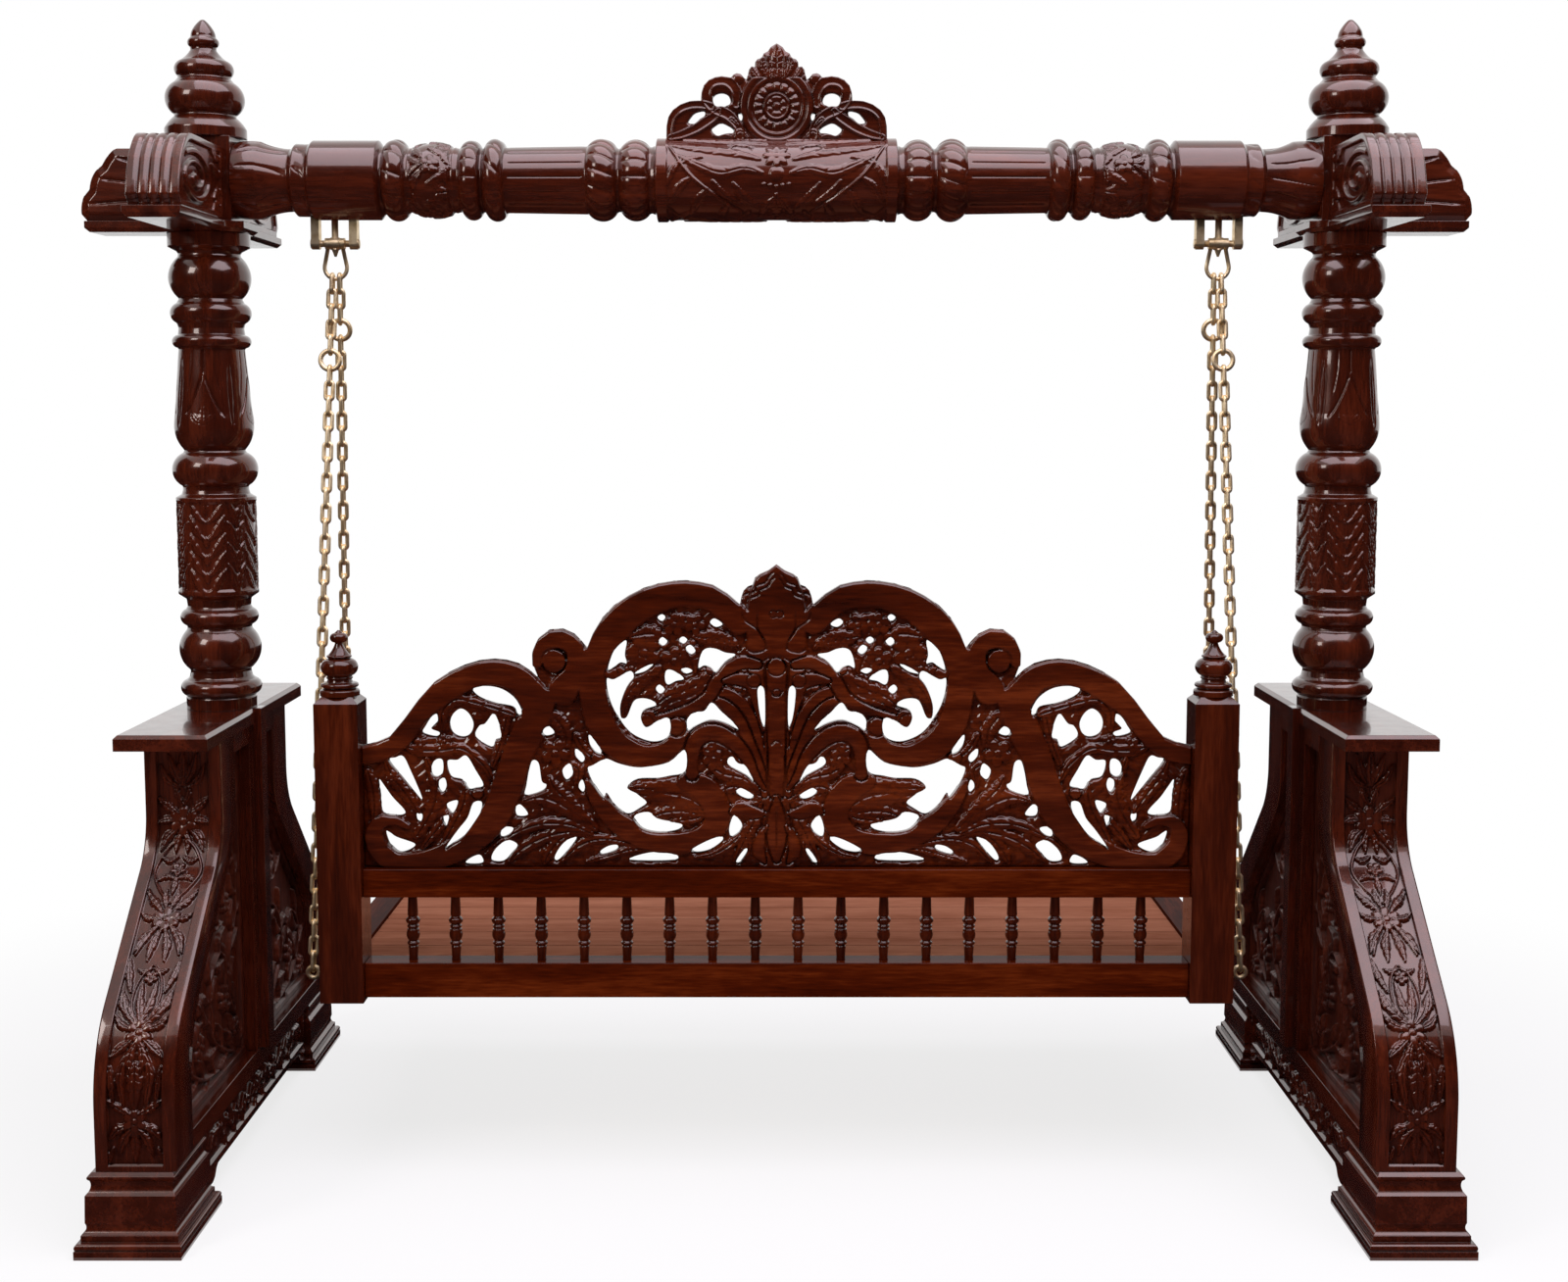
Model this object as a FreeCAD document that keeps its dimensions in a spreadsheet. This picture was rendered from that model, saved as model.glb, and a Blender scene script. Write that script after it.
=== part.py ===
import FreeCAD, Part
import math
import os

import Sketcher

# A carved wooden swing seat that hangs by four chains from a turned beam between two carved stands.
# Millimetres. +X runs along the beam, +Y away from the side with the carved back, +Z up.
# The origin is on the floor, in the middle of the stand.

Vector = FreeCAD.Vector
doc = FreeCAD.newDocument("swing")
sheet = doc.addObject("Spreadsheet::Sheet", "Sizes")


class Size:
    """A length in millimetres, with the formula over the sheet's cells that gives it."""

    def __init__(self, value, formula):
        self.value = value
        self.formula = formula

    def __add__(self, other):
        return Size(self.value + other.value, f"({self.formula} + {other.formula})")

    def __sub__(self, other):
        return Size(self.value - other.value, f"({self.formula} - {other.formula})")

    def __neg__(self):
        return Size(-self.value, f"(0 - {self.formula})")

    def __mul__(self, share):
        return Size(self.value * share, f"({self.formula} * {share!r})")

    __rmul__ = __mul__

    def __truediv__(self, share):
        return Size(self.value / share, f"({self.formula} / {share!r})")


zero = Size(0.0, "0")
rows_used = []


def length(name, value, meaning):
    """Writes one driving length into the sheet and returns it."""
    rows_used.append(name)
    row = str(len(rows_used))
    sheet.set("A" + row, meaning)
    sheet.set("B" + row, str(value))
    sheet.setAlias("B" + row, name)
    sheet.recompute()
    return Size(float(sheet.get(name)), "Sizes." + name)


# Driving lengths of the side stands
stand_x = length("stand_x", 1030, "side stand from the middle")
leg_x = length("leg_x", 1024, "legs and panels from the middle")
foot_reach = length("foot_reach", 560, "foot's outer end from the middle, along Y")
foot_length = length("foot_length", 227, "foot along Y")
foot_width = length("foot_width", 172, "foot along X")
foot_height = length("foot_height", 132, "foot")
foot_inset_long = length("foot_inset_long", 34, "foot top inside its slab, along Y")
foot_inset_side = length("foot_inset_side", 21, "foot top inside its slab, along X")
leg_width = length("leg_width", 130, "leg along X")
leg_depth = length("leg_depth", 95, "leg along Y")
leg_head_reach = length("leg_head_reach", 225, "leg's outer face at the top")
leg_foot_reach = length("leg_foot_reach", 525, "leg's outer face at the foot")
leg_straight = length("leg_straight", 122, "upright stretch under the cap")
ogee_upper_radius = length("ogee_upper_radius", 125, "hollow of the leg's curve")
ogee_lower_radius = length("ogee_lower_radius", 210, "belly of the leg's curve")
stile_width = length("stile_width", 21, "plain edge beside the carved face")
carving_depth = length("carving_depth", 5, "sunk ground of the carved faces")
carving_margin = length("carving_margin", 22, "plain band above and below the carving")
cap_width = length("cap_width", 158, "stand's cap board along X")
cap_length = length("cap_length", 640, "stand's cap board along Y")
cap_height = length("cap_height", 27, "stand's cap board")
cap_top = length("cap_top", 803, "top of the stand's cap")
cap_bevel = length("cap_bevel", 6, "bevel round the cap's top")
rail_height = length("rail_height", 35, "stand's bottom and top rail")
side_panel_thickness = length("side_panel_thickness", 88, "stand's carved side panel")
stile_breadth = length("stile_breadth", 72, "stand's middle stile along Y")
pilaster_breadth = length("pilaster_breadth", 36, "strip on the middle stile")
pilaster_proud = length("pilaster_proud", 18, "strip beyond the stile's face")
apron_thickness = length("apron_thickness", 118, "carved apron along X")
apron_clear = length("apron_clear", 50, "apron above the floor")
apron_drop = length("apron_drop", 22, "apron's end drop beside the foot")

# Driving lengths of the posts, capitals and finials
post_x = length("post_x", 1016, "turned post from the middle")
post_height = length("post_height", 854, "turned post without its tenons")
post_radius = length("post_radius", 75, "turned post at its largest")
tenon_radius = length("tenon_radius", 26, "round tenons of posts, beam and finials")
tenon_length = length("tenon_length", 30, "round tenons")
joint_gap = length("joint_gap", 0.3, "room round a hidden tenon")
plate_height = length("plate_height", 19, "cross-shaped plate on the post")
plate_arm = length("plate_arm", 96, "arm of that plate, across")
plate_front = length("plate_front", 324, "plate's front and rear reach")
plate_side = length("plate_side", 206, "plate's outer reach")
plate_bevel = length("plate_bevel", 7, "bevel under the plate")
plate_inner = length("plate_inner", 76, "plate's reach towards the beam")
block_width = length("block_width", 114, "capital block")
block_height = length("block_height", 147, "capital block")
scroll_width = length("scroll_width", 88, "scroll bracket, across")
scroll_height = length("scroll_height", 127, "scroll bracket")
scroll_reach_front = length("scroll_reach_front", 318, "front and rear scroll from the post's axis")
scroll_reach_side = length("scroll_reach_side", 214, "outer scroll from the post's axis")
reed_groove = length("reed_groove", 5, "groove between two reeds")
finial_height = length("finial_height", 208, "turned finial on the capital")

# Driving lengths of the beam, its crest and the hangers
beam_z = length("beam_z", 1751, "beam's axis above the floor")
beam_radius = length("beam_radius", 73.5, "beam at its middle drum")
crest_length = length("crest_length", 392, "crest board along the beam")
crest_height = length("crest_height", 169, "crest board above the flat")
crest_let_in = length("crest_let_in", 3.5, "flat on the beam's top under the crest")
crest_peg_height = length("crest_peg_height", 25, "pegs under the crest")
crest_peg_width = length("crest_peg_width", 40, "pegs under the crest, along the beam")
crest_thickness = length("crest_thickness", 30, "crest board on the beam")
hook_x = length("hook_x", 790, "hangers from the middle")
hook_z = length("hook_z", 1640, "hanger pin above the floor")
hook_width = length("hook_width", 80, "hanger bracket along X")
hook_bar = length("hook_bar", 12, "bars of the hanger bracket")
hook_depth = length("hook_depth", 18, "hanger bracket along Y")
hook_rooted = length("hook_rooted", 30, "bracket arms inside the beam")
pin_radius = length("pin_radius", 6, "hanger pin")
running_gap = length("running_gap", 0.05, "running room round the pin")
tongue_width = length("tongue_width", 16, "fixed eye bolt on the pin")
tongue_radius = length("tongue_radius", 11, "fixed eye bolt's eye")
tongue_tip = length("tongue_tip", 23, "fixed eye bolt's point below the pin")
tongue_neck = length("tongue_neck", 6, "fixed eye bolt's shank radius")
pin_head_radius = length("pin_head_radius", 8.5, "heads of the hanger pin")
pin_head_height = length("pin_head_height", 3, "heads of the hanger pin")
shank_radius = length("shank_radius", 5, "eye bolt shanks")
eye_width = length("eye_width", 9, "shackle eyes along X")
eye_radius = length("eye_radius", 10, "shackle eyes outside")
side_gap = length("side_gap", 0.4, "room beside the shackle eyes")
shackle_wire = length("shackle_wire", 3.6, "shackle's wire radius")
shackle_bend = length("shackle_bend", 20, "shackle's lower bend, to the wire's middle")
shackle_drop = length("shackle_drop", 62.3, "shackle's lowest wire middle below the pin")

# Driving lengths of the chains
link_wire = length("link_wire", 2.5, "chain wire radius")
link_bend = length("link_bend", 6.5, "chain link's end, to the wire's middle")
ring_wire = length("ring_wire", 3.2, "chain ring wire radius")
ring_inner = length("ring_inner", 28, "chain ring inside")
link_gap = length("link_gap", 0.3, "room between two links")
bend_gap = length("bend_gap", 1.0, "room of a first link round the shackle's sloping bend")
chain_apart = length("chain_apart", 13, "the two chains apart on the shackle")
anchor_y = length("anchor_y", 146, "seat eye bolts from the middle")
anchor_z = length("anchor_z", 348, "seat eyes above the floor")
anchor_stand_off = length("anchor_stand_off", 26, "seat eye from the side rail")
anchor_radius = length("anchor_radius", 10, "seat eye, to the wire's middle")
anchor_wire = length("anchor_wire", 4, "seat eye wire radius")
anchor_rooted = length("anchor_rooted", 40, "seat eye's shank in the wood")
collar_radius = length("collar_radius", 11, "collar of a seat eye")
collar_height = length("collar_height", 2, "collar of a seat eye")

# Driving lengths of the seat
seat_half = length("seat_half", 799, "seat's outer face from the middle")
seat_back_y = length("seat_back_y", 210, "seat's back face from the middle")
seat_front_y = length("seat_front_y", 465, "seat's front face from the middle")
seat_post = length("seat_post", 76, "seat's square posts")
seat_floor = length("seat_floor", 310, "foot of the seat's posts above the floor")
back_post_height = length("back_post_height", 540, "seat's back posts")
front_post_height = length("front_post_height", 92, "seat's front corner posts")
post_bevel = length("post_bevel", 11, "bevel on the seat's posts")
rail_thickness = length("rail_thickness", 50, "seat rails")
rail_rise = length("rail_rise", 7, "seat rails above the posts' feet")
lower_rail_height = length("lower_rail_height", 62, "seat's lower rails")
upper_rail_z = length("upper_rail_z", 496, "underside of the upper back rail")
upper_rail_height = length("upper_rail_height", 50, "upper back rail")
spindle_radius = length("spindle_radius", 11, "spindles at their largest")
spindle_pitch = length("spindle_pitch", 75.4, "spindles, middle to middle")
back_height = length("back_height", 533, "carved back above the upper rail")
back_thickness = length("back_thickness", 26, "carved back")
back_finial_height = length("back_finial_height", 114, "small turned finial")
back_finial_radius = length("back_finial_radius", 34, "small turned finial")
dowel_radius = length("dowel_radius", 10, "dowel of a small finial")
dowel_length = length("dowel_length", 25, "dowel of a small finial")
deck_thickness = length("deck_thickness", 14, "deck boards")
deck_drop = length("deck_drop", 7, "deck below the rails' top")
deck_gap = length("deck_gap", 2, "between two deck boards")
batten_height = length("batten_height", 30, "battens under the deck")
batten_width = length("batten_width", 50, "battens under the deck")
overrun = length("overrun", 10, "cutting tools beyond what they cut")

ogee_slope = 48.0
apron_tail_share = 1.5
apron_bulge = 0.45
plate_bulge = 0.3
tip_share = 0.125
root_share = 0.45
sunk_share = 0.8
straight_least = 0.25
spindle_count = 18
deck_boards = 6
batten_count = 4
reed_count = 5
link_count = 45
curve_steps = 4
near_ring = 5
far_ring = 3
half_turn = 180.0
quarter_turn = 90.0

parts = []


def keep(obj):
    """Marks an object as a sub-part, whose label names its file."""
    parts.append(obj)
    return obj


def stand(obj, x=zero, y=zero, z=zero, turn=0.0, axis=Vector(0, 0, 1)):
    """Puts an object at a point, turned about an axis."""
    where = Vector(x.value, y.value, z.value)
    obj.Placement = FreeCAD.Placement(where, FreeCAD.Rotation(axis, turn))
    obj.setExpression("Placement.Base.x", x.formula)
    obj.setExpression("Placement.Base.y", y.formula)
    obj.setExpression("Placement.Base.z", z.formula)
    return obj


def block(label, low, high):
    """A square-edged block between two corners."""
    box = doc.addObject("Part::Box", label)
    for name, a, b in zip(("Length", "Width", "Height"), low, high):
        box.setExpression(name, (b - a).formula)
    return stand(box, *low)


def rod(label, start, radius, run, along="z"):
    """A cylinder from a point, along one of the axes."""
    cylinder = doc.addObject("Part::Cylinder", label)
    cylinder.setExpression("Radius", radius.formula)
    cylinder.setExpression("Height", run.formula)
    axis = {"x": Vector(0, 1, 0), "y": Vector(-1, 0, 0), "z": Vector(0, 0, 1)}[along]
    return stand(cylinder, *start, turn=0.0 if along == "z" else quarter_turn, axis=axis)


def together(label, members, kind="Part::MultiFuse"):
    """Several solids as one, or with kind Part::Compound as a set of separate ones."""
    joined = doc.addObject(kind, label)
    if kind == "Part::MultiFuse":
        joined.Shapes = members
    else:
        joined.Links = members
    return joined


def cut(label, base, tools):
    """A solid less its tools."""
    less = doc.addObject("Part::Cut", label)
    less.Base = base
    less.Tool = tools[0] if len(tools) == 1 else together(label + "_tools", tools)
    return less


def arc_between(start, end, bulge):
    """The arc over a chord; bulge is its height over half the chord, and is positive to the right."""
    chord = end - start
    side = Vector(-chord.y, chord.x, 0)
    centre = (start + end) * 0.5 + side * ((1 - bulge * bulge) / (4 * bulge))
    radius = (start - centre).Length
    first, last = (start, end) if bulge > 0 else (end, start)
    low = math.atan2(first.y - centre.y, first.x - centre.x)
    high = math.atan2(last.y - centre.y, last.x - centre.x)
    if high <= low:
        high += 2 * math.pi
    return Part.ArcOfCircle(Part.Circle(centre, Vector(0, 0, 1), radius), low, high)


def outline(body, plane, points):
    """A closed sketch on one of the body's planes. Each point is (across, up) or (across, up, bulge)."""
    sketch = body.newObject("Sketcher::SketchObject", body.Label + "_outline")
    planes = {origin.Role: origin for origin in body.Origin.OriginFeatures}
    sketch.AttachmentSupport = [(planes[plane + "_Plane"], "")]
    sketch.MapMode = "FlatFace"
    count = len(points)
    ends = []
    radii = []
    for i, point in enumerate(points):
        a, b = point[0], point[1]
        c, d = points[(i + 1) % count][0], points[(i + 1) % count][1]
        bulge = point[2] if len(point) > 2 else 0
        start, end = Vector(a.value, b.value, 0), Vector(c.value, d.value, 0)
        if bulge:
            edge = sketch.addGeometry(arc_between(start, end, bulge), False)
            ends.append((edge, 1, 2) if bulge > 0 else (edge, 2, 1))
            spread = (1 + bulge * bulge) / (4 * abs(bulge))
            chord = f"sqrt(({(c - a).formula})^2 + ({(d - b).formula})^2)"
            radii.append((edge, (end - start).Length * spread, f"{chord} * {spread!r}"))
        else:
            edge = sketch.addGeometry(Part.LineSegment(start, end), False)
            ends.append((edge, 1, 2))
    rules = []
    formulas = []
    for i in range(count):
        edge, _, last = ends[i]
        following, first, _ = ends[(i + 1) % count]
        rules.append(Sketcher.Constraint("Coincident", edge, last, following, first))
    for (edge, first, _), point in zip(ends, points):
        for kind, axis, size in (("DistanceX", -2, point[0]), ("DistanceY", -1, point[1])):
            if size is zero:
                rules.append(Sketcher.Constraint("PointOnObject", edge, first, axis))
                continue
            formulas.append((len(rules), size.formula))
            rules.append(Sketcher.Constraint(kind, -1, 1, edge, first, size.value))
    for edge, radius, formula in radii:
        formulas.append((len(rules), formula))
        rules.append(Sketcher.Constraint("Radius", edge, radius))
    sketch.addConstraint(rules)
    for rule, formula in formulas:
        sketch.setExpression(f"Constraints[{rule}]", formula)
    return sketch


def shaped(label):
    """An empty body."""
    body = doc.addObject("PartDesign::Body", label)
    body.Label = label
    return body


def pad(body, plane, points, thickness):
    """A board of an outline, half its thickness to each side of the plane."""
    feature = body.newObject("PartDesign::Pad", body.Label + "_pad")
    feature.Profile = outline(body, plane, points)
    feature.SideType = "Symmetric"
    feature.setExpression("Length", thickness.formula)
    return feature


def pocket(body, plane, points, thickness):
    """Cuts an outline out of the body, half the thickness to each side of the plane."""
    feature = body.newObject("PartDesign::Pocket", body.Label + "_pocket")
    feature.Profile = outline(body, plane, points)
    feature.SideType = "Symmetric"
    feature.setExpression("Length", thickness.formula)
    return feature


def turned(label, points, axis="V_Axis"):
    """A body turned about the sketch's upright or level axis."""
    body = shaped(label)
    sketch = outline(body, "XZ", points)
    feature = body.newObject("PartDesign::Revolution", label + "_turning")
    feature.Profile = sketch
    feature.ReferenceAxis = (sketch, [axis])
    feature.Angle = 2 * half_turn
    return body


def profile(shares, height, radius):
    """Points (radius, height, bulge) of a turned profile written as shares."""
    return [(radius * r, height * t, bulge[0] if bulge else 0) for t, r, *bulge in shares]


def mould(shares, height, half, inset):
    """A moulded outline, symmetric about the upright axis; each share is (height, inset, bulge)."""
    right = [(half - inset * i, height * t, bulge[0] if bulge else 0) for t, i, *bulge in shares]
    left = [(-x, z) for x, z, _ in reversed(right)]
    bulges = [b for _, _, b in reversed(right)][1:] + [0]
    return right + [(x, z, b) for (x, z), b in zip(left, bulges)]


# Turned profiles from the foot up: (height share, radius share, bulge of the stretch that follows)
post_shares = [
    (0.000, 0.83), (0.024, 0.83), (0.028, 0.80, 0.79), (0.062, 0.80), (0.068, 0.74), (0.080, 0.71),
    (0.084, 0.72, 0.44), (0.168, 0.78), (0.175, 0.75), (0.179, 0.78, 0.70), (0.213, 0.78), (0.220, 0.74),
    (0.235, 0.76), (0.246, 0.94), (0.450, 0.94), (0.457, 0.80), (0.466, 0.77), (0.474, 0.77, 0.62),
    (0.544, 0.74), (0.549, 0.71), (0.552, 0.73, 0.18), (0.600, 0.93, 0.05), (0.625, 0.90), (0.760, 0.77),
    (0.763, 0.79, 0.88), (0.790, 0.78), (0.804, 0.76), (0.815, 0.80, 0.65), (0.856, 0.79), (0.864, 0.74),
    (0.867, 0.75, 0.45), (0.951, 0.74), (0.957, 0.72), (0.963, 0.76), (0.972, 0.96), (1.000, 0.96),
]
finial_shares = [
    (0.000, 0.95), (0.082, 0.95, 0.10), (0.183, 0.72), (0.193, 0.71), (0.204, 0.72, 0.56), (0.471, 0.70),
    (0.505, 0.61), (0.524, 0.61), (0.526, 0.62, 0.55), (0.654, 0.55, -0.12), (0.745, 0.30), (0.766, 0.30),
    (0.771, 0.31, 0.55), (0.844, 0.31), (0.854, 0.29, 0.10), (0.904, 0.26, 0.10), (0.995, 0.06), (1.000, 0.03),
]
beam_shares = [
    (0.221, 1.00), (0.224, 0.83), (0.232, 0.79), (0.235, 0.80, 0.55), (0.289, 0.77), (0.293, 0.75),
    (0.296, 0.78, 0.55), (0.350, 0.82), (0.353, 0.81), (0.498, 0.78), (0.502, 0.79, 0.80), (0.540, 0.79),
    (0.544, 0.76), (0.547, 0.79, 0.73), (0.584, 0.77), (0.588, 0.76), (0.592, 0.77, 0.28), (0.680, 0.76),
    (0.684, 0.79, 0.70), (0.726, 0.80), (0.730, 0.82), (0.737, 0.95), (0.858, 0.95), (0.864, 0.87),
    (0.890, 0.87), (0.898, 0.75, -0.12), (0.955, 0.92, 0.08), (1.000, 0.91),
]
spindle_shares = [
    (0.000, 0.85), (0.205, 0.85), (0.256, 0.64), (0.282, 0.80, 0.60), (0.333, 0.80), (0.350, 0.73),
    (0.376, 0.73, 0.35), (0.530, 0.73), (0.547, 0.78, 0.60), (0.598, 0.78), (0.615, 0.64), (0.650, 0.82),
    (1.000, 0.73),
]
back_finial_shares = [
    (0.000, 0.90, 0.50), (0.110, 0.90), (0.128, 0.80, 0.50), (0.202, 0.82), (0.239, 0.62), (0.349, 0.65, 0.55),
    (0.569, 0.59), (0.606, 0.74), (0.642, 0.47), (0.807, 0.22), (0.844, 0.20, 0.80), (0.985, 0.12),
    (1.000, 0.06),
]
foot_shares = [
    (0.00, 0.00), (0.106, 0.00), (0.106, 0.10, 0.55), (0.185, 0.20), (0.185, 0.38), (0.265, 0.38, -0.45),
    (0.400, 0.60), (0.735, 0.64, -0.35), (0.900, 0.90), (0.915, 0.84, 0.60), (0.970, 0.86), (1.000, 1.00),
]
# Backs of the scroll brackets from the nose up: (reach share, height share, bulge)
scroll_shares = [
    (0.95, 0.00), (0.95, 0.05), (0.99, 0.15, 0.05), (0.91, 0.63, 0.07), (0.81, 0.88, 0.20), (0.67, 1.00),
]
leaf_shares = [
    (0.93, 0.00), (1.00, 0.10, 0.12), (0.97, 0.34), (0.90, 0.44, 0.16), (0.82, 0.70), (0.75, 0.77, 0.10),
    (0.62, 0.98), (0.58, 1.00),
]
peg_sunk_share = 0.93
crest_peg_share = 0.14

# Side stands


def ogee(shift):
    """The leg's outer edge from the cap down to the foot, moved inwards by shift; along Y and up."""
    slope = math.radians(ogee_slope)
    bulge = math.tan(slope / 4)
    turn_in, turn_down = 1 - math.cos(slope), math.sin(slope)
    head_y = leg_head_reach - shift
    foot_y = leg_foot_reach - shift
    head_z = cap_top - cap_height
    upper_z = head_z - leg_straight
    first = (head_y + ogee_upper_radius * turn_in, upper_z - ogee_upper_radius * turn_down)
    second_y = foot_y - ogee_lower_radius * turn_in
    second_z = first[1] - (second_y - first[0]) / math.tan(slope)
    lower_z = second_z - ogee_lower_radius * turn_down
    return [
        (head_y, head_z), (head_y, upper_z, bulge), (*first, 0), (second_y, second_z, -bulge),
        (foot_y, lower_z), (foot_y, foot_height),
    ]


def closed_band(outer, inner):
    """The outline between two edges that run the same way."""
    back = [(y, z) for y, z, *_ in reversed(inner)]
    bulges = [-(edge[2]) if len(edge) > 2 else 0 for edge in reversed(inner)][1:] + [0]
    return outer + [(y, z, bulge) for (y, z), bulge in zip(back, bulges)]


def clipped(edge, low, high):
    """The same edge with its ends moved to two heights."""
    first, last = edge[0], edge[-1]
    return [(first[0], high)] + edge[1:-1] + [(last[0], low)]


def foot(label, side, end):
    """A moulded foot: two moulded bars crossed, so that the moulding mitres round its corners."""
    lengthwise = shaped(label + "_lengthwise")
    pad(lengthwise, "YZ", mould(foot_shares, foot_height, foot_length / 2, foot_inset_long), foot_width)
    crosswise = shaped(label + "_crosswise")
    pad(crosswise, "XZ", mould(foot_shares, foot_height, foot_width / 2, foot_inset_side), foot_length)
    both = doc.addObject("Part::Common", label)
    both.Base = lengthwise
    both.Tool = crosswise
    return stand(both, stand_x * side, (foot_reach - foot_length / 2) * end)


def leg(label, side, end):
    """A curved leg with a sunk face for the carving between two plain edges."""
    body = shaped(label)
    pad(body, "YZ", closed_band(ogee(zero), ogee(leg_depth)), leg_width)
    low = foot_height + carving_margin
    high = cap_top - cap_height - carving_margin
    sunk = closed_band(clipped(ogee(-overrun), low, high), clipped(ogee(carving_depth), low, high))
    pocket(body, "YZ", sunk, leg_width - stile_width * 2)
    return stand(body, leg_x * side, turn=0.0 if end > 0 else half_turn)


def side_panel(label, side, end):
    """The board between a leg, the middle stile and the rails."""
    body = shaped(label)
    low = foot_height + rail_height
    high = cap_top - cap_height - rail_height
    edge = clipped(ogee(leg_depth), low, high)
    stile = stile_breadth / 2
    pad(body, "YZ", edge + [(stile, low), (stile, high)], side_panel_thickness)
    return stand(body, leg_x * side, turn=0.0 if end > 0 else half_turn)


def centre_stile(label, side):
    """The middle stile, with a strip on each face that runs past the cap's edge."""
    low = foot_height + rail_height
    high = cap_top - cap_height
    half = leg_width / 2
    proud = half + pilaster_proud
    x = leg_x * side
    core = block(label + "_core", (x - half, -stile_breadth / 2, low), (x + half, stile_breadth / 2, high))
    inward = x - proud if side > 0 else x + half
    strip = block(
        label + "_strip",
        (inward, -pilaster_breadth / 2, low),
        (inward + pilaster_proud, pilaster_breadth / 2, cap_top),
    )
    return together(label, [core, strip])


def bevel_face(body, feature, size, top):
    """Bevels all round the feature's highest face, or its lowest one."""
    feature.recompute(True)
    heights = [face.CenterOfMass.z for face in feature.Shape.Faces]
    wanted = max(heights) if top else min(heights)
    edge = body.newObject("PartDesign::Chamfer", body.Label + "_bevel")
    edge.Base = (feature, [f"Face{i + 1}" for i, height in enumerate(heights) if height == wanted])
    edge.setExpression("Size", size.formula)
    return body


def bevelled(label, long_x, long_y, height, bevel):
    """A board or post about its own middle, bevelled round its top."""
    body = shaped(label)
    half_x, half_y = long_x / 2, long_y / 2
    corners = [(-half_x, -half_y), (half_x, -half_y), (half_x, half_y), (-half_x, half_y)]
    return bevel_face(body, pad(body, "XY", corners, height), bevel, True)


def cap_board(label, side):
    """The stand's cap: a bevelled board with a mortise for the post and a notch for the strip."""
    board = bevelled(label + "_board", cap_width, cap_length, cap_height, cap_bevel)
    under = cap_top - cap_height
    stand(board, stand_x * side, z=cap_top - cap_height / 2)
    around = tenon_radius + joint_gap
    mortise = rod(label + "_mortise", (post_x * side, zero, under - overrun), around, cap_height + overrun * 2)
    near = (leg_x - leg_width / 2) * side
    far = (stand_x - cap_width / 2 - overrun) * side
    low, high = (far, near) if side > 0 else (near, far)
    notch = block(
        label + "_notch",
        (low, -pilaster_breadth / 2, under - overrun),
        (high, pilaster_breadth / 2, cap_top + overrun),
    )
    return cut(label, board, [mortise, notch])


def frame_rails(label, side):
    """The stand's bottom rail and the two top rails beside the stile."""
    half = leg_width / 2
    x = leg_x * side
    inner_foot = leg_foot_reach - leg_depth
    inner_head = leg_head_reach - leg_depth
    top = foot_height + rail_height
    members = [block(label + "_bottom", (x - half, -inner_foot, foot_height), (x + half, inner_foot, top))]
    head = cap_top - cap_height
    stile = stile_breadth / 2
    for name, low, high in (("rear", stile, inner_head), ("front", -inner_head, -stile)):
        members.append(block(f"{label}_top_{name}", (x - half, low, head - rail_height), (x + half, high, head)))
    return together(label, members, "Part::Compound")


def apron(label, side):
    """The low carved board between the feet, with a drop at each end."""
    body = shaped(label)
    reach = foot_reach - foot_length
    low, high = apron_clear, foot_height
    drop = apron_drop
    tail = apron_drop * apron_tail_share
    points = [
        (-reach, high), (-reach, low - drop), (-reach + drop, low - drop, -apron_bulge),
        (-reach + drop + tail, low), (reach - drop - tail, low, -apron_bulge),
        (reach - drop, low - drop), (reach, low - drop), (reach, high),
    ]
    pad(body, "YZ", points, apron_thickness)
    return stand(body, leg_x * side)


# Posts and capitals

plate_z = cap_top + post_height
block_z = plate_z + plate_height
finial_z = block_z + block_height
beam_half = post_x - block_width / 2
hook_head = beam_z - beam_radius * peg_sunk_share + hook_rooted


def post(label, side):
    """A turned post with a round tenon at each end."""
    head_end = post_height + plate_height + tenon_length
    points = [(zero, -cap_height), (tenon_radius, -cap_height), (tenon_radius, zero)]
    points += profile(post_shares, post_height, post_radius)
    points += [(tenon_radius, post_height), (tenon_radius, head_end), (zero, head_end)]
    return stand(turned(label, points), post_x * side, z=cap_top)


def capital_plate(label, side):
    """The cross-shaped plate on the post, hollowed between its arms and bevelled below."""
    body = shaped(label + "_board")
    arm = plate_arm / 2
    near = plate_inner
    hollow = -plate_bulge
    points = [
        (plate_side, -arm), (plate_side, arm), (near, arm, hollow), (arm, near), (arm, plate_front),
        (-arm, plate_front), (-arm, near, hollow), (-near, arm), (-near, -arm, hollow), (-arm, -near),
        (-arm, -plate_front), (arm, -plate_front), (arm, -near, hollow), (near, -arm),
    ]
    bevel_face(body, pad(body, "XY", points, plate_height), plate_bevel, False)
    stand(body, post_x * side, z=plate_z + plate_height / 2, turn=0.0 if side > 0 else half_turn)
    start = (post_x * side, zero, plate_z - overrun)
    hole = rod(label + "_hole", start, tenon_radius + joint_gap, plate_height + overrun * 2)
    return cut(label, body, [hole])


def capital_block(label, side):
    """The square block that the post, the beam and the finial are tenoned into."""
    half = block_width / 2
    x = post_x * side
    core = block(label + "_core", (x - half, -half, block_z), (x + half, half, finial_z))
    around = tenon_radius + joint_gap
    deep = tenon_length + joint_gap
    start = x - half - overrun if side > 0 else x + half - deep
    sockets = [
        rod(label + "_foot_socket", (x, zero, block_z - overrun), around, deep + overrun),
        rod(label + "_head_socket", (x, zero, finial_z - deep), around, deep + overrun),
        rod(label + "_beam_socket", (start, zero, beam_z), around, deep + overrun, "x"),
    ]
    return cut(label, core, sockets)


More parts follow.
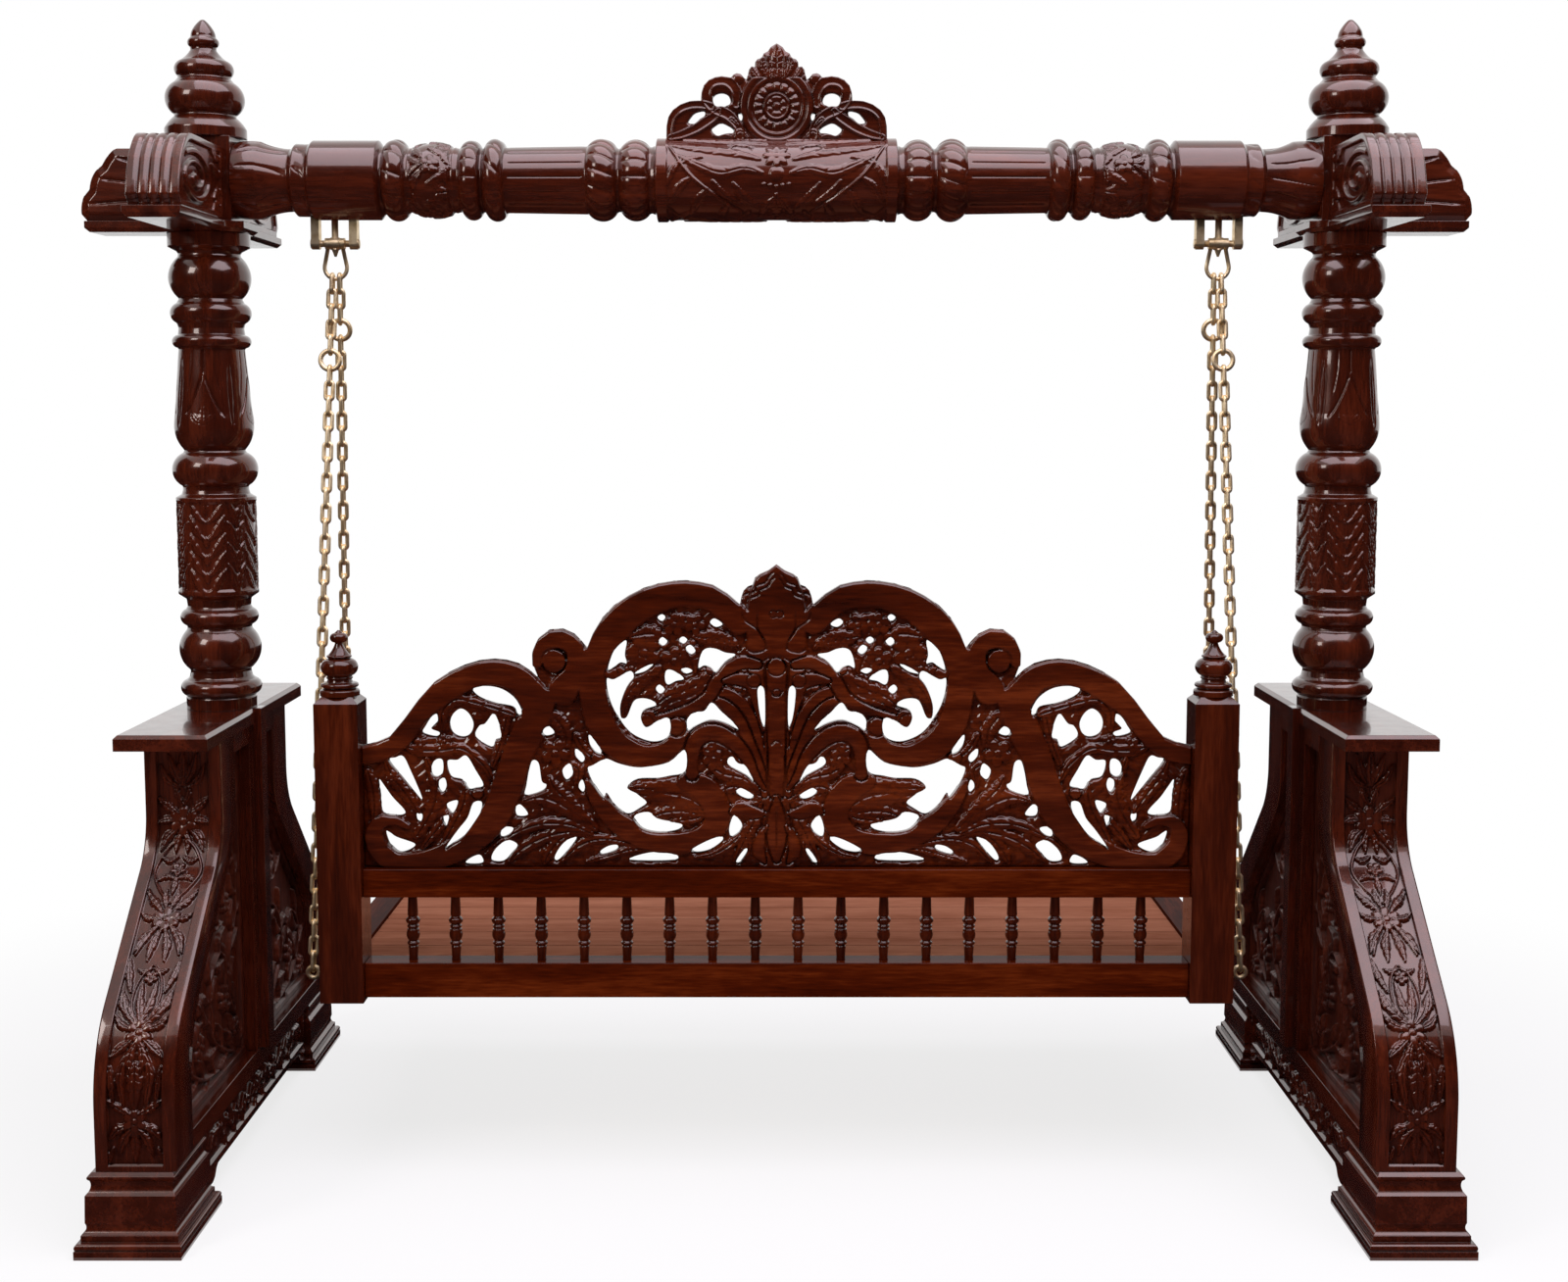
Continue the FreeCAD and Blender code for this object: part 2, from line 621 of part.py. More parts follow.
def scroll(shares, shift, near, run):
    """A bracket's back from its nose up to the block, moved outwards by shift."""
    points = []
    for r, t, *bulge in shares:
        points.append((near + run * r + shift, scroll_height * t + shift * t, *bulge))
    return points + [(near, scroll_height + shift)]


def bracket(label, side, turn):
    """A scroll bracket whose back is grooved into reeds. It points along +X before it is turned."""
    near = block_width / 2
    run = scroll_reach_front - near
    body = shaped(label + "_board")
    pad(body, "XZ", [(near, zero)] + scroll(scroll_shares, zero, near, run), scroll_width)
    stand(body, post_x * side, z=block_z, turn=turn)
    heading = math.radians(turn)
    above = scroll(scroll_shares, overrun, near, run)
    groove = closed_band(above, scroll(scroll_shares, -reed_groove, near, run))
    grooves = []
    for i in range(1, reed_count):
        tool = shaped(f"{label}_groove_{i}")
        pad(tool, "XZ", groove, reed_groove)
        across = scroll_width * (i / reed_count - 0.5)
        aside, ahead = round(-math.sin(heading)), round(math.cos(heading))
        grooves.append(stand(tool, post_x * side + across * aside, across * ahead, block_z, turn=turn))
    return cut(label, body, grooves)


def leaf_bracket(label, side):
    """The outer bracket, whose back has the lobes of a leaf."""
    body = shaped(label)
    near = block_width / 2
    lobes = scroll(leaf_shares, zero, near, scroll_reach_side - near)
    pad(body, "XZ", [(near, zero)] + lobes, scroll_width)
    return stand(body, post_x * side, z=block_z, turn=0.0 if side > 0 else half_turn)


def finial(label, shares, height, radius, peg, depth):
    """A turned finial on its peg."""
    points = [(zero, -depth), (peg, -depth), (peg, zero)] + profile(shares, height, radius)
    return turned(label, points + [(zero, height)])


# Beam, crest and hangers


def beam(label):
    """The turned beam with round tenons, a flat for the crest and mortises for its pegs and the hangers."""
    core = profile(beam_shares, beam_half, beam_radius)
    right = [(x, r) for r, x, _ in reversed(core)]
    bulges = [bulge for _, _, bulge in reversed(core)][1:] + [0]
    points = [(x, r, bulge) for (x, r), bulge in zip(right, bulges)] + [(-x, r, bulge) for r, x, bulge in core]
    end = beam_half + tenon_length
    head = [(end, zero), (end, tenon_radius), (beam_half, tenon_radius)]
    tail = [(-beam_half, tenon_radius), (-end, tenon_radius), (-end, zero)]
    turning = stand(turned(label + "_turning", head + points + tail, "H_Axis"), z=beam_z)
    top = beam_z + beam_radius
    half_x = crest_length / 2 + joint_gap
    floor = top - crest_let_in
    flat_low, flat_high = (-half_x, -crest_thickness, floor), (half_x, crest_thickness, top + overrun)
    tools = [block(label + "_flat", flat_low, flat_high)]
    for i, (low, high) in enumerate(crest_pegs(joint_gap)):
        tools.append(block(f"{label}_peg_mortise_{i}", low, high))
    for side in (-1, 1):
        for i, x in enumerate(hook_arms(side)):
            low = (x - joint_gap, -hook_depth / 2 - joint_gap, hook_z)
            high = (x + hook_bar + joint_gap, hook_depth / 2 + joint_gap, hook_head + joint_gap)
            tools.append(block(f"{label}_arm_mortise_{side}_{i}", low, high))
        start = (hook_x * side, zero, hook_z)
        deep = hook_head - hook_z + joint_gap
        tools.append(rod(f"{label}_neck_mortise_{side}", start, tongue_neck + joint_gap, deep))
    return cut(label, turning, tools)


def crest_pegs(room):
    """The corners of the crest's two pegs, or with room of their mortises."""
    floor = beam_z + beam_radius - crest_let_in
    corners = []
    for side in (-1, 1):
        middle = crest_length * (side * crest_peg_share)
        half_x, half_y = crest_peg_width / 2 + room, crest_thickness / 4 + room
        low = (middle - half_x, -half_y, floor - crest_peg_height - room)
        corners.append((low, (middle + half_x, half_y, floor + crest_let_in)))
    return corners


def hook_arms(side):
    """Where the two arms of a hanger start along X."""
    middle = hook_x * side
    return middle - hook_width / 2, middle + hook_width / 2 - hook_bar


def hook_staple(label, side):
    """A hanger's two arms, rounded below and bored for the pin."""
    arms = []
    for i, x in enumerate(hook_arms(side)):
        half = hook_depth / 2
        arm = block(f"{label}_arm_{i}", (x, -half, hook_z), (x + hook_bar, half, hook_head))
        eye = rod(f"{label}_eye_{i}", (x, zero, hook_z), hook_depth / 2, hook_bar, "x")
        bore_start = (x - overrun, zero, hook_z)
        bore = rod(f"{label}_bore_{i}", bore_start, pin_radius + running_gap, hook_bar + overrun * 2, "x")
        arms.append(cut(f"{label}_bored_{i}", together(f"{label}_whole_{i}", [arm, eye]), [bore]))
    return together(label, arms, "Part::Compound")


def hook_pin(label, side):
    """A hanger's pin with a head outside each arm."""
    start = hook_x * side - hook_width / 2
    members = [rod(label + "_shaft", (start, zero, hook_z), pin_radius, hook_width, "x")]
    for i, x in enumerate((start - pin_head_height, start + hook_width)):
        members.append(rod(f"{label}_head_{i}", (x, zero, hook_z), pin_head_radius, pin_head_height, "x"))
    return together(label, members)


def hook_tongue(label, side):
    """The fixed eye bolt between the shackle's eyes, with its point below the pin."""
    x = hook_x * side
    eye = rod(label + "_eye", (x - tongue_width / 2, zero, hook_z), tongue_radius, tongue_width, "x")
    neck = rod(label + "_neck", (x, zero, hook_z), tongue_neck, hook_head - hook_z)
    point = doc.addObject("Part::Cone", label + "_point")
    point.setExpression("Radius1", (tongue_width * tip_share).formula)
    point.setExpression("Radius2", (tongue_width * root_share).formula)
    point.setExpression("Height", (tongue_tip - tongue_radius * sunk_share).formula)
    stand(point, x, zero, hook_z - tongue_tip)
    bore_start = (x - tongue_width / 2 - overrun, zero, hook_z)
    bore = rod(label + "_bore", bore_start, pin_radius + running_gap, tongue_width + overrun * 2, "x")
    return cut(label, together(label + "_whole", [eye, neck, point]), [bore])


def shackle(label, side):
    """The bow that swings on the pin: two eyes, two straight arms and a round bend below."""
    x = hook_x * side
    out = tongue_width / 2 + side_gap + eye_width / 2
    centre = shackle_drop - shackle_bend
    rise = centre - pin_radius
    distance = math.hypot(out.value, rise.value)
    lean = math.atan2(rise.value, out.value) - math.acos(shackle_bend.value / distance)
    run = Size(
        math.sqrt(distance ** 2 - shackle_bend.value ** 2),
        f"sqrt(({out.formula})^2 + ({rise.formula})^2 - ({shackle_bend.formula})^2)",
    )
    bend = doc.addObject("Part::Torus", label + "_bend")
    bend.setExpression("Radius1", shackle_bend.formula)
    bend.setExpression("Radius2", shackle_wire.formula)
    bend.Angle3 = half_turn + 2 * math.degrees(lean)
    stand(bend, x, zero, hook_z - centre)
    upright = FreeCAD.Rotation(Vector(1, 0, 0), quarter_turn)
    around = FreeCAD.Rotation(Vector(0, 0, 1), half_turn - math.degrees(lean))
    bend.Placement.Rotation = upright.multiply(around)
    members = [bend]
    bores = []
    for way in (-1, 1):
        arm = doc.addObject("Part::Cylinder", f"{label}_arm_{way}")
        arm.setExpression("Radius", shackle_wire.formula)
        arm.setExpression("Height", run.formula)
        foot_x = x + shackle_bend * (way * math.cos(lean))
        foot_z = hook_z - centre + shackle_bend * math.sin(lean)
        stand(arm, foot_x, zero, foot_z, turn=-way * math.degrees(lean), axis=Vector(0, 1, 0))
        eye_start = x + out * way - eye_width / 2
        eye = rod(f"{label}_eye_{way}", (eye_start, zero, hook_z), eye_radius, eye_width, "x")
        bore_start = (eye_start - overrun, zero, hook_z)
        bore = rod(f"{label}_bore_{way}", bore_start, pin_radius + running_gap, eye_width + overrun, "x")
        bores.append(bore)
        members += [arm, eye]
    return cut(label, together(label + "_whole", members), bores)


# Chains


def link_shape(wire, bend, inner):
    """One link hanging down from the origin, the middle of its top wire."""
    run = inner + 2 * wire - 2 * bend
    top, low = Vector(0, 0, -bend), Vector(0, 0, -bend - run)
    if run < straight_least:
        return Part.makeTorus(bend, wire, top, Vector(0, 1, 0))
    across, up = Vector(bend, 0, 0), Vector(0, 0, bend)
    edges = [
        Part.Arc(top - across, top + up, top + across).toShape(),
        Part.makeLine(top + across, low + across),
        Part.Arc(low + across, low - up, low - across).toShape(),
        Part.makeLine(low - across, top - across),
    ]
    section = Part.Wire(Part.makeCircle(wire, top + across, Vector(0, 0, 1)))
    return Part.Wire(edges[1:] + edges[:1]).makePipeShell([section], True, True)


def chain(label, side, end):
    """A chain from the shackle's bend to a seat eye; its links' inner length comes from the run."""
    aside = -end * side * chain_apart.value / 2
    bend_z = hook_z.value - shackle_drop.value + shackle_bend.value
    start_z = bend_z - math.sqrt(shackle_bend.value ** 2 - aside ** 2)
    start = Vector(hook_x.value * side + aside, 0, start_z)
    eye_x = (seat_half.value + anchor_stand_off.value) * side
    finish = Vector(eye_x, anchor_y.value * end, anchor_z.value + anchor_radius.value)
    along = (finish - start).normalize()
    sideways = (Vector(1, 0, 0) - along * along.x).normalize()
    forward = along.cross(sideways)
    wire, ring = link_wire.value, ring_wire.value
    room = link_gap.value
    first = -(shackle_wire.value + wire + bend_gap.value)
    last = (finish - start).Length + anchor_wire.value + wire + room
    plain = link_count - 1
    steps = (plain - 2) * (2 * wire + room) + 2 * (wire + ring + room)
    ring_span = ring_inner.value + 2 * ring
    inner = (last - first - ring_span + steps) / plain - 2 * wire
    here = first
    links = []
    for i in range(link_count):
        is_ring = i == (near_ring if end < 0 else far_ring)
        thick, bend = (ring, ring_span / 2) if is_ring else (wire, link_bend.value)
        span = ring_span if is_ring else inner + 2 * wire
        if i:
            here -= thick + thick_before + room
        shape = link_shape(thick, bend, span - 2 * thick)
        turned_x, turned_y = (forward, -sideways) if i % 2 == 0 else (sideways, forward)
        rotation = FreeCAD.Rotation(turned_x, turned_y, -along, "ZXY")
        shape.Placement = FreeCAD.Placement(start + along * here, rotation).multiply(shape.Placement)
        links.append(shape)
        here += span
        thick_before = thick
    piece = doc.addObject("Part::Feature", label)
    piece.Shape = Part.makeCompound(links)
    return stand(piece)


def seat_eyes(label, side):
    """The two screw eyes on one side of the seat, each with a collar on the wood."""
    face = seat_half * side
    eyes = []
    for end in (-1, 1):
        place = (seat_half + anchor_stand_off) * side
        ring = doc.addObject("Part::Torus", f"{label}_ring_{end}")
        ring.setExpression("Radius1", anchor_radius.formula)
        ring.setExpression("Radius2", anchor_wire.formula)
        stand(ring, place, anchor_y * end, anchor_z, turn=quarter_turn, axis=Vector(1, 0, 0))
        tip = face - anchor_rooted * side
        near = place - anchor_radius * side
        start, run = (tip, near - tip) if side > 0 else (near, tip - near)
        shank = rod(f"{label}_shank_{end}", (start, anchor_y * end, anchor_z), shank_radius, run, "x")
        rim = face if side > 0 else face - collar_height
        collar_start = (rim, anchor_y * end, anchor_z)
        collar = rod(f"{label}_collar_{end}", collar_start, collar_radius, collar_height, "x")
        eyes.append(together(f"{label}_eye_{end}", [ring, shank, collar]))
    return together(label, eyes, "Part::Compound")


def eye_bores(label):
    """The bores for the screw eyes' shanks, as tools."""
    bores = []
    for side in (-1, 1):
        for end in (-1, 1):
            deep = anchor_rooted + joint_gap
            start = seat_half - deep if side > 0 else -seat_half - overrun
            place = (start, anchor_y * end, anchor_z)
            around = shank_radius + joint_gap
            bores.append(rod(f"{label}_bore_{side}_{end}", place, around, deep + overrun, "x"))
    return bores


# Seat

inner_post_x = seat_half - seat_post
back_line = -seat_back_y + seat_post / 2
front_line = seat_front_y - seat_post / 2
rail_z = seat_floor + rail_rise
rail_top = rail_z + lower_rail_height
back_top = seat_floor + back_post_height
deck_top = rail_top - deck_drop
deck_back = back_line + rail_thickness / 2
deck_front = front_line - rail_thickness / 2


def seat_post_at(label, side, line, height):
    """A square post of the seat with its top bevelled."""
    body = bevelled(label, seat_post, seat_post, height, post_bevel)
    return stand(body, (seat_half - seat_post / 2) * side, line, seat_floor + height / 2)


def back_post(label, side):
    """A back post, bored for its finial's peg and for a screw eye."""
    core = seat_post_at(label + "_core", side, back_line, back_post_height)
    start = ((seat_half - seat_post / 2) * side, back_line, back_top - dowel_length - joint_gap)
    peg = rod(label + "_peg_socket", start, dowel_radius + joint_gap, dowel_length + joint_gap + overrun)
    return cut(label, core, [peg] + eye_bores(label))


def long_rail(label, line, low, high):
    """A rail between two posts."""
    half = rail_thickness / 2
    return block(label, (-inner_post_x, line - half, low), (inner_post_x, line + half, high))


def side_rail(label, side):
    """A rail from a back post to a front post, bored for a screw eye."""
    near, far = seat_half - rail_thickness, seat_half
    low, high = (near, far) if side > 0 else (-far, -near)
    run_back, run_front = back_line + seat_post / 2, front_line - seat_post / 2
    core = block(label + "_core", (low, run_back, rail_z), (high, run_front, rail_top))
    return cut(label, core, eye_bores(label))


def spindle(label, i):
    """One turned spindle between the two back rails."""
    height = upper_rail_z - rail_top
    points = [(zero, zero)] + profile(spindle_shares, height, spindle_radius) + [(zero, height)]
    place = spindle_pitch * (i - (spindle_count - 1) / 2)
    return stand(turned(label, points), place, back_line, rail_top)


def deck_board(label, i):
    """A deck board; the two outer ones are notched round the posts."""
    depth = (deck_front - deck_back - deck_gap * (deck_boards - 1)) / deck_boards
    low_y = deck_back + (depth + deck_gap) * i
    half = seat_half - rail_thickness
    low, high = (-half, low_y, deck_top - deck_thickness), (half, low_y + depth, deck_top)
    if 0 < i < deck_boards - 1:
        return block(label, low, high)
    board = block(label + "_board", low, high)
    near_y, far_y = low_y - overrun, back_line + seat_post / 2
    if i:
        near_y, far_y = front_line - seat_post / 2, deck_front + overrun
    notches = []
    for side in (-1, 1):
        near, far = (inner_post_x * side, (half + overrun) * side)
        left, right = (near, far) if side > 0 else (far, near)
        corner = (left, near_y, deck_top - deck_thickness - overrun)
        notches.append(block(f"{label}_notch_{side}", corner, (right, far_y, deck_top + overrun)))
    return cut(label, board, notches)


def batten(label, i):
    """A batten under the deck, from the lower back rail to the front rail."""
    middle = inner_post_x * ((2 * i + 1) / batten_count - 1)
    under = deck_top - deck_thickness
    low = (middle - batten_width / 2, deck_back, under - batten_height)
    return block(label, low, (middle + batten_width / 2, deck_front, under))


# Carved boards, read off the front view in pixels of an enlarged view

back_middle_pixels = 1542
back_base_pixels = 1065
back_half_pixels = 1390
back_height_pixels = 1013
back_outline_pixels = [
    (152, 655), (205, 642), (245, 625), (275, 590), (300, 560), (345, 500), (400, 440), (450, 408), (500, 385),
    (550, 370), (600, 365), (640, 369), (680, 380), (715, 402), (745, 430), (728, 385), (727, 340), (748, 296),
    (785, 268), (830, 265), (868, 282), (893, 308), (910, 330), (930, 280), (960, 230), (1000, 188), (1050, 155),
    (1100, 130), (1150, 115), (1200, 107), (1240, 105), (1285, 110), (1330, 120), (1380, 150), (1420, 185),
    (1425, 160), (1432, 140), (1446, 126), (1462, 120), (1470, 97), (1485, 85), (1515, 72), (1542, 52),
]
back_hole_pixels = [
    [(205, 770), (222, 790), (285, 868), (290, 885), (262, 890), (218, 880), (210, 830)],
    [(240, 706), (288, 692), (312, 740), (345, 820), (335, 832), (310, 795), (275, 750)],
    [(358, 606), (370, 575), (402, 550), (410, 575), (400, 600), (385, 622)],
    [(447, 580), (485, 542), (523, 580), (485, 618)],
    [(540, 590), (590, 552), (612, 565), (618, 620), (598, 640), (560, 645), (533, 628)],
    [(530, 468), (560, 457), (620, 466), (668, 500), (688, 540), (660, 530), (610, 508), (550, 490)],
    [(440, 708), (495, 694), (530, 738), (552, 788), (520, 798), (485, 770), (448, 758)],
    [(520, 850), (546, 856), (538, 890), (490, 955), (455, 980), (472, 935), (500, 900)],
    [(228, 948), (260, 962), (315, 985), (298, 1008), (268, 1016), (242, 998)],
    [(717, 714), (742, 717), (752, 775), (765, 788), (750, 808), (700, 820)],
    [(905, 768), (905, 742), (960, 702), (1010, 716), (1040, 745), (1020, 775), (985, 795), (940, 800)],
    [(1075, 735), (1130, 728), (1185, 714), (1230, 680), (1230, 742), (1180, 763), (1100, 773)],
    [(985, 825), (1020, 822), (1060, 830), (1105, 852), (1078, 873), (1040, 882), (1000, 855)],
    [(1065, 895), (1110, 882), (1150, 892), (1210, 922), (1205, 935), (1150, 943), (1095, 928)],
    [(980, 400), (1000, 350), (1035, 308), (1038, 350), (1040, 383), (1000, 394)],
    [(985, 440), (1050, 424), (1058, 440), (1030, 490), (1020, 540), (1030, 572), (1000, 520)],
    [(1060, 520), (1085, 498), (1118, 502), (1136, 520), (1100, 540), (1078, 560)],
    [(1085, 590), (1110, 596), (1140, 578), (1178, 575), (1186, 592), (1180, 625), (1140, 638), (1095, 625)],
    [(1245, 560), (1265, 547), (1320, 518), (1358, 545), (1405, 598), (1330, 572)],
    [(1298, 342), (1350, 332), (1395, 350), (1368, 378), (1328, 396), (1300, 375)],
    [(1168, 420), (1188, 402), (1228, 430), (1182, 448)],
    [(1478, 470), (1490, 455), (1502, 475), (1503, 570), (1494, 588), (1482, 550)],
    [(1385, 704), (1405, 700), (1440, 728), (1462, 768), (1425, 748)],
    [(1387, 912), (1405, 900), (1422, 922), (1415, 945), (1390, 955)],
    [(1262, 998), (1305, 975), (1350, 964), (1350, 980), (1300, 1016)],
]
crest_middle_pixels = 790
crest_base_pixels = 572
crest_half_pixels = 575
crest_height_pixels = 492
crest_outline_pixels = [
    (215, 572), (217, 500), (226, 455), (250, 420), (290, 392), (340, 374), (395, 371), (400, 330), (412, 295),
    (438, 268), (470, 254), (505, 249), (550, 256), (562, 240), (582, 233), (604, 238), (620, 256), (634, 262),
    (640, 240), (645, 212), (658, 200), (676, 200), (678, 175), (690, 160), (712, 154), (722, 132), (745, 120),
    (758, 100), (790, 80),
]
crest_hole_pixels = [
    [(458, 372), (468, 345), (500, 332), (534, 342), (548, 368), (545, 392), (510, 400), (475, 400)],
    [(330, 482), (345, 455), (370, 432), (410, 424), (415, 445), (390, 462), (360, 486)],
    [(452, 520), (470, 500), (500, 485), (535, 498), (560, 515), (562, 535), (520, 540), (480, 550)],
    [(590, 440), (604, 436), (612, 452), (608, 470), (598, 466)],
]


def closed_curve(points):
    """A closed line of short stretches that runs smoothly through points."""
    count = len(points)
    rounded = []
    for i in range(count):
        a, b, c, d = (points[(i + k) % count] for k in (-1, 0, 1, 2))
        for step in range(curve_steps):
            t = step / curve_steps
            bend = (a * 2 - b * 5 + c * 4 - d) * t ** 2 + (b * 3 - a - c * 3 + d) * t ** 3
            rounded.append((b * 2 + (c - a) * t + bend) * 0.5)
    return Part.makePolygon(rounded + rounded[:1])


def pierced(outline_points, holes, thickness):
    """A board of straight-edged outline with smooth holes, half its thickness to each side of Y zero."""
    edge = Part.makePolygon(outline_points + outline_points[:1])
    edges = [edge] + [closed_curve(hole) for hole in holes]
    face = Part.makeFace(edges, "Part::FaceMakerBullseye")
    face.translate(Vector(0, -thickness / 2, 0))
    return face.extrude(Vector(0, thickness, 0))


def placed(pixels, middle, base, span, rise, width, height, way):
    """Pixels of the left half as points in XZ, or with way -1 as points of the right half."""
    return [Vector((x - middle) / span * width * way, 0, (base - y) / rise * height) for x, y in pixels]


def carved_back(label):
    """The pierced board between the seat's back posts."""
    fit = (back_middle_pixels, back_base_pixels, back_half_pixels, back_height_pixels)
    width, height = inner_post_x.value, back_height.value
    left = placed(back_outline_pixels, *fit, width, height, 1)
    right = placed(back_outline_pixels, *fit, width, height, -1)
    ends = [Vector(width, 0, 0), Vector(-width, 0, 0)]
    holes = [placed(hole, *fit, width, height, way) for hole in back_hole_pixels for way in (1, -1)]
    piece = doc.addObject("Part::Feature", label)
    piece.Shape = pierced(left + right[::-1][1:] + ends, holes, back_thickness.value)
    return stand(piece, y=back_line, z=upper_rail_z + upper_rail_height)


def beam_crest(label):
    """The pierced crest on the beam, with two pegs under it."""
    fit = (crest_middle_pixels, crest_base_pixels, crest_half_pixels, crest_height_pixels)
    width, height = crest_length.value / 2, crest_height.value
    left = placed(crest_outline_pixels, *fit, width, height, 1)
    right = placed(crest_outline_pixels, *fit, width, height, -1)
    holes = [placed(hole, *fit, width, height, way) for hole in crest_hole_pixels for way in (1, -1)]
    board = doc.addObject("Part::Feature", label + "_board")
    board.Shape = pierced(left + right[::-1][1:], holes, crest_thickness.value)
    stand(board, z=beam_z + beam_radius - crest_let_in)
    pegs = [block(f"{label}_peg_{i}", low, high) for i, (low, high) in enumerate(crest_pegs(zero))]
    return together(label, [board] + pegs)


# The whole swing


def build_stand(name, side):
    """One side stand with its post, capital and finial."""
    for end_name, end in (("front", -1), ("rear", 1)):
        keep(foot(f"foot_{end_name}_{name}", side, end))
        keep(leg(f"leg_{end_name}_{name}", side, end))
        keep(bracket(f"bracket_{end_name}_{name}", side, quarter_turn * end))
    keep(leaf_bracket(f"bracket_outer_{name}", side))
    keep(cap_board(f"stand_cap_{name}", side))
    keep(centre_stile(f"middle_stile_{name}", side))
    keep(frame_rails(f"frame_rails_{name}", side))
    keep(apron(f"apron_{name}", side))
    panels = [side_panel(f"side_panel_{end}_{name}", side, end) for end in (-1, 1)]
    keep(together(f"side_panels_{name}", panels, "Part::Compound"))
    keep(post(f"post_{name}", side))
    keep(capital_plate(f"capital_plate_{name}", side))
    keep(capital_block(f"capital_block_{name}", side))
    sizes = (finial_height, post_radius, tenon_radius, tenon_length)
    keep(stand(finial(f"capital_finial_{name}", finial_shares, *sizes), post_x * side, z=finial_z))


def build_beam():
    """The beam with its crest and the fixed half of the hangers."""
    keep(beam("beam"))
    keep(beam_crest("beam_crest"))
    for name, side in sides:
        keep(hook_staple(f"hook_staple_{name}", side))
    pins = [hook_pin(f"hook_pin_{name}", side) for name, side in sides]
    keep(together("hook_pins", pins, "Part::Compound"))
    tongues = [hook_tongue(f"hook_tongue_{name}", side) for name, side in sides]
    keep(together("hook_tongues", tongues, "Part::Compound"))


def build_seat():
    """The hanging seat with its shackles and chains."""
    for name, side in sides:
        keep(shackle(f"shackle_{name}", side))
        keep(chain(f"chain_near_{name}", side, -1))
        keep(chain(f"chain_far_{name}", side, 1))
        keep(seat_eyes(f"seat_eyes_{name}", side))
        keep(back_post(f"back_post_{name}", side))
    keep(long_rail("lower_rail", back_line, rail_z, rail_top))
    keep(long_rail("upper_rail", back_line, upper_rail_z, upper_rail_z + upper_rail_height))
    keep(long_rail("front_rail", front_line, rail_z, rail_top))
    keep(carved_back("carved_back"))
    spindles = [spindle(f"spindle_{i}", i) for i in range(spindle_count)]
    keep(together("spindles", spindles, "Part::Compound"))
    rails = [side_rail(f"side_rail_{name}", side) for name, side in sides]
    keep(together("side_rails", rails, "Part::Compound"))
    posts = []
    for name, side in sides:
        posts.append(seat_post_at(f"front_post_{name}", side, front_line, front_post_height))
    keep(together("front_posts", posts, "Part::Compound"))
    boards = [deck_board(f"deck_board_{i}", i) for i in range(deck_boards)]
    keep(together("deck", boards, "Part::Compound"))
    battens = [batten(f"batten_{i}", i) for i in range(batten_count)]
    keep(together("deck_battens", battens, "Part::Compound"))
    tops = []
    sizes = (back_finial_height, back_finial_radius, dowel_radius, dowel_length)
    for name, side in sides:
        top = finial(f"back_finial_{name}", back_finial_shares, *sizes)
        tops.append(stand(top, (seat_half - seat_post / 2) * side, back_line, back_top))
    keep(together("back_finials", tops, "Part::Compound"))


sides = (("left", -1), ("right", 1))
for name, side in sides:
    build_stand(name, side)
build_beam()
build_seat()
doc.recompute()

# Every object is checked before anything is written
failed = [obj.Label for obj in doc.Objects if "Invalid" in obj.State or "Error" in obj.State]
failed += [obj.Label for obj in parts if obj.Shape.isNull() or not obj.Shape.isValid()]
if failed:
    raise RuntimeError("these objects failed: " + ", ".join(failed))
os.makedirs("parts", exist_ok=True)
for obj in parts:
    obj.Shape.exportStep(f"parts/{obj.Label}.step")
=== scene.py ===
import math

import bmesh
import bpy
import numpy as np
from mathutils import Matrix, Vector


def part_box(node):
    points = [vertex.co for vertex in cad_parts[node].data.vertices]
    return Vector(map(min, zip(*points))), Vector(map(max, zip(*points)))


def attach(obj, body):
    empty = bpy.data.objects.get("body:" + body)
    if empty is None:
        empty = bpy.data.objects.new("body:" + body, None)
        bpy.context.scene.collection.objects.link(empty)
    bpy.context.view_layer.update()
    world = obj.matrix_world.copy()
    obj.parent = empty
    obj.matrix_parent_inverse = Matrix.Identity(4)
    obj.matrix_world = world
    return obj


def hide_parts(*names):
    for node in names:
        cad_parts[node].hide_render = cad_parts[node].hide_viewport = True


# A carved hardwood swing seen from behind its seat. Lengths are in metres.

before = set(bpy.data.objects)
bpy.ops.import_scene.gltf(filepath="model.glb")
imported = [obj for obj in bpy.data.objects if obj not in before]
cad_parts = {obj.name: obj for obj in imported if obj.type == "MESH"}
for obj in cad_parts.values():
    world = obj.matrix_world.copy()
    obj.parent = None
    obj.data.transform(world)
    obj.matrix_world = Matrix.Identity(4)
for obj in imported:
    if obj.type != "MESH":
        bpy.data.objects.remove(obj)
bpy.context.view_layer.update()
mm = 0.001
sides = (("left", -1), ("right", 1))


def box_of(node):
    """The low and high corner of a CAD node."""
    low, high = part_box(node)
    return Vector(low), Vector(high)


# Materials


def material(name):
    """A new node material and its tools: nodes, links and the shader."""
    made = bpy.data.materials.new(name)
    made.use_nodes = True
    nodes, links = made.node_tree.nodes, made.node_tree.links
    return made, nodes, links, nodes["Principled BSDF"]


def add_node(nodes, kind, **settings):
    """A shader node with some inputs set; an underscore in a name stands for a space."""
    made = nodes.new("ShaderNode" + kind)
    for name, value in settings.items():
        made.inputs[name.replace("_", " ")].default_value = value
    return made


def wire(links, *rows):
    """Links rows of (node, output, node, input)."""
    for source, output, target, entry in rows:
        links.new(source.outputs[output], target.inputs[entry])


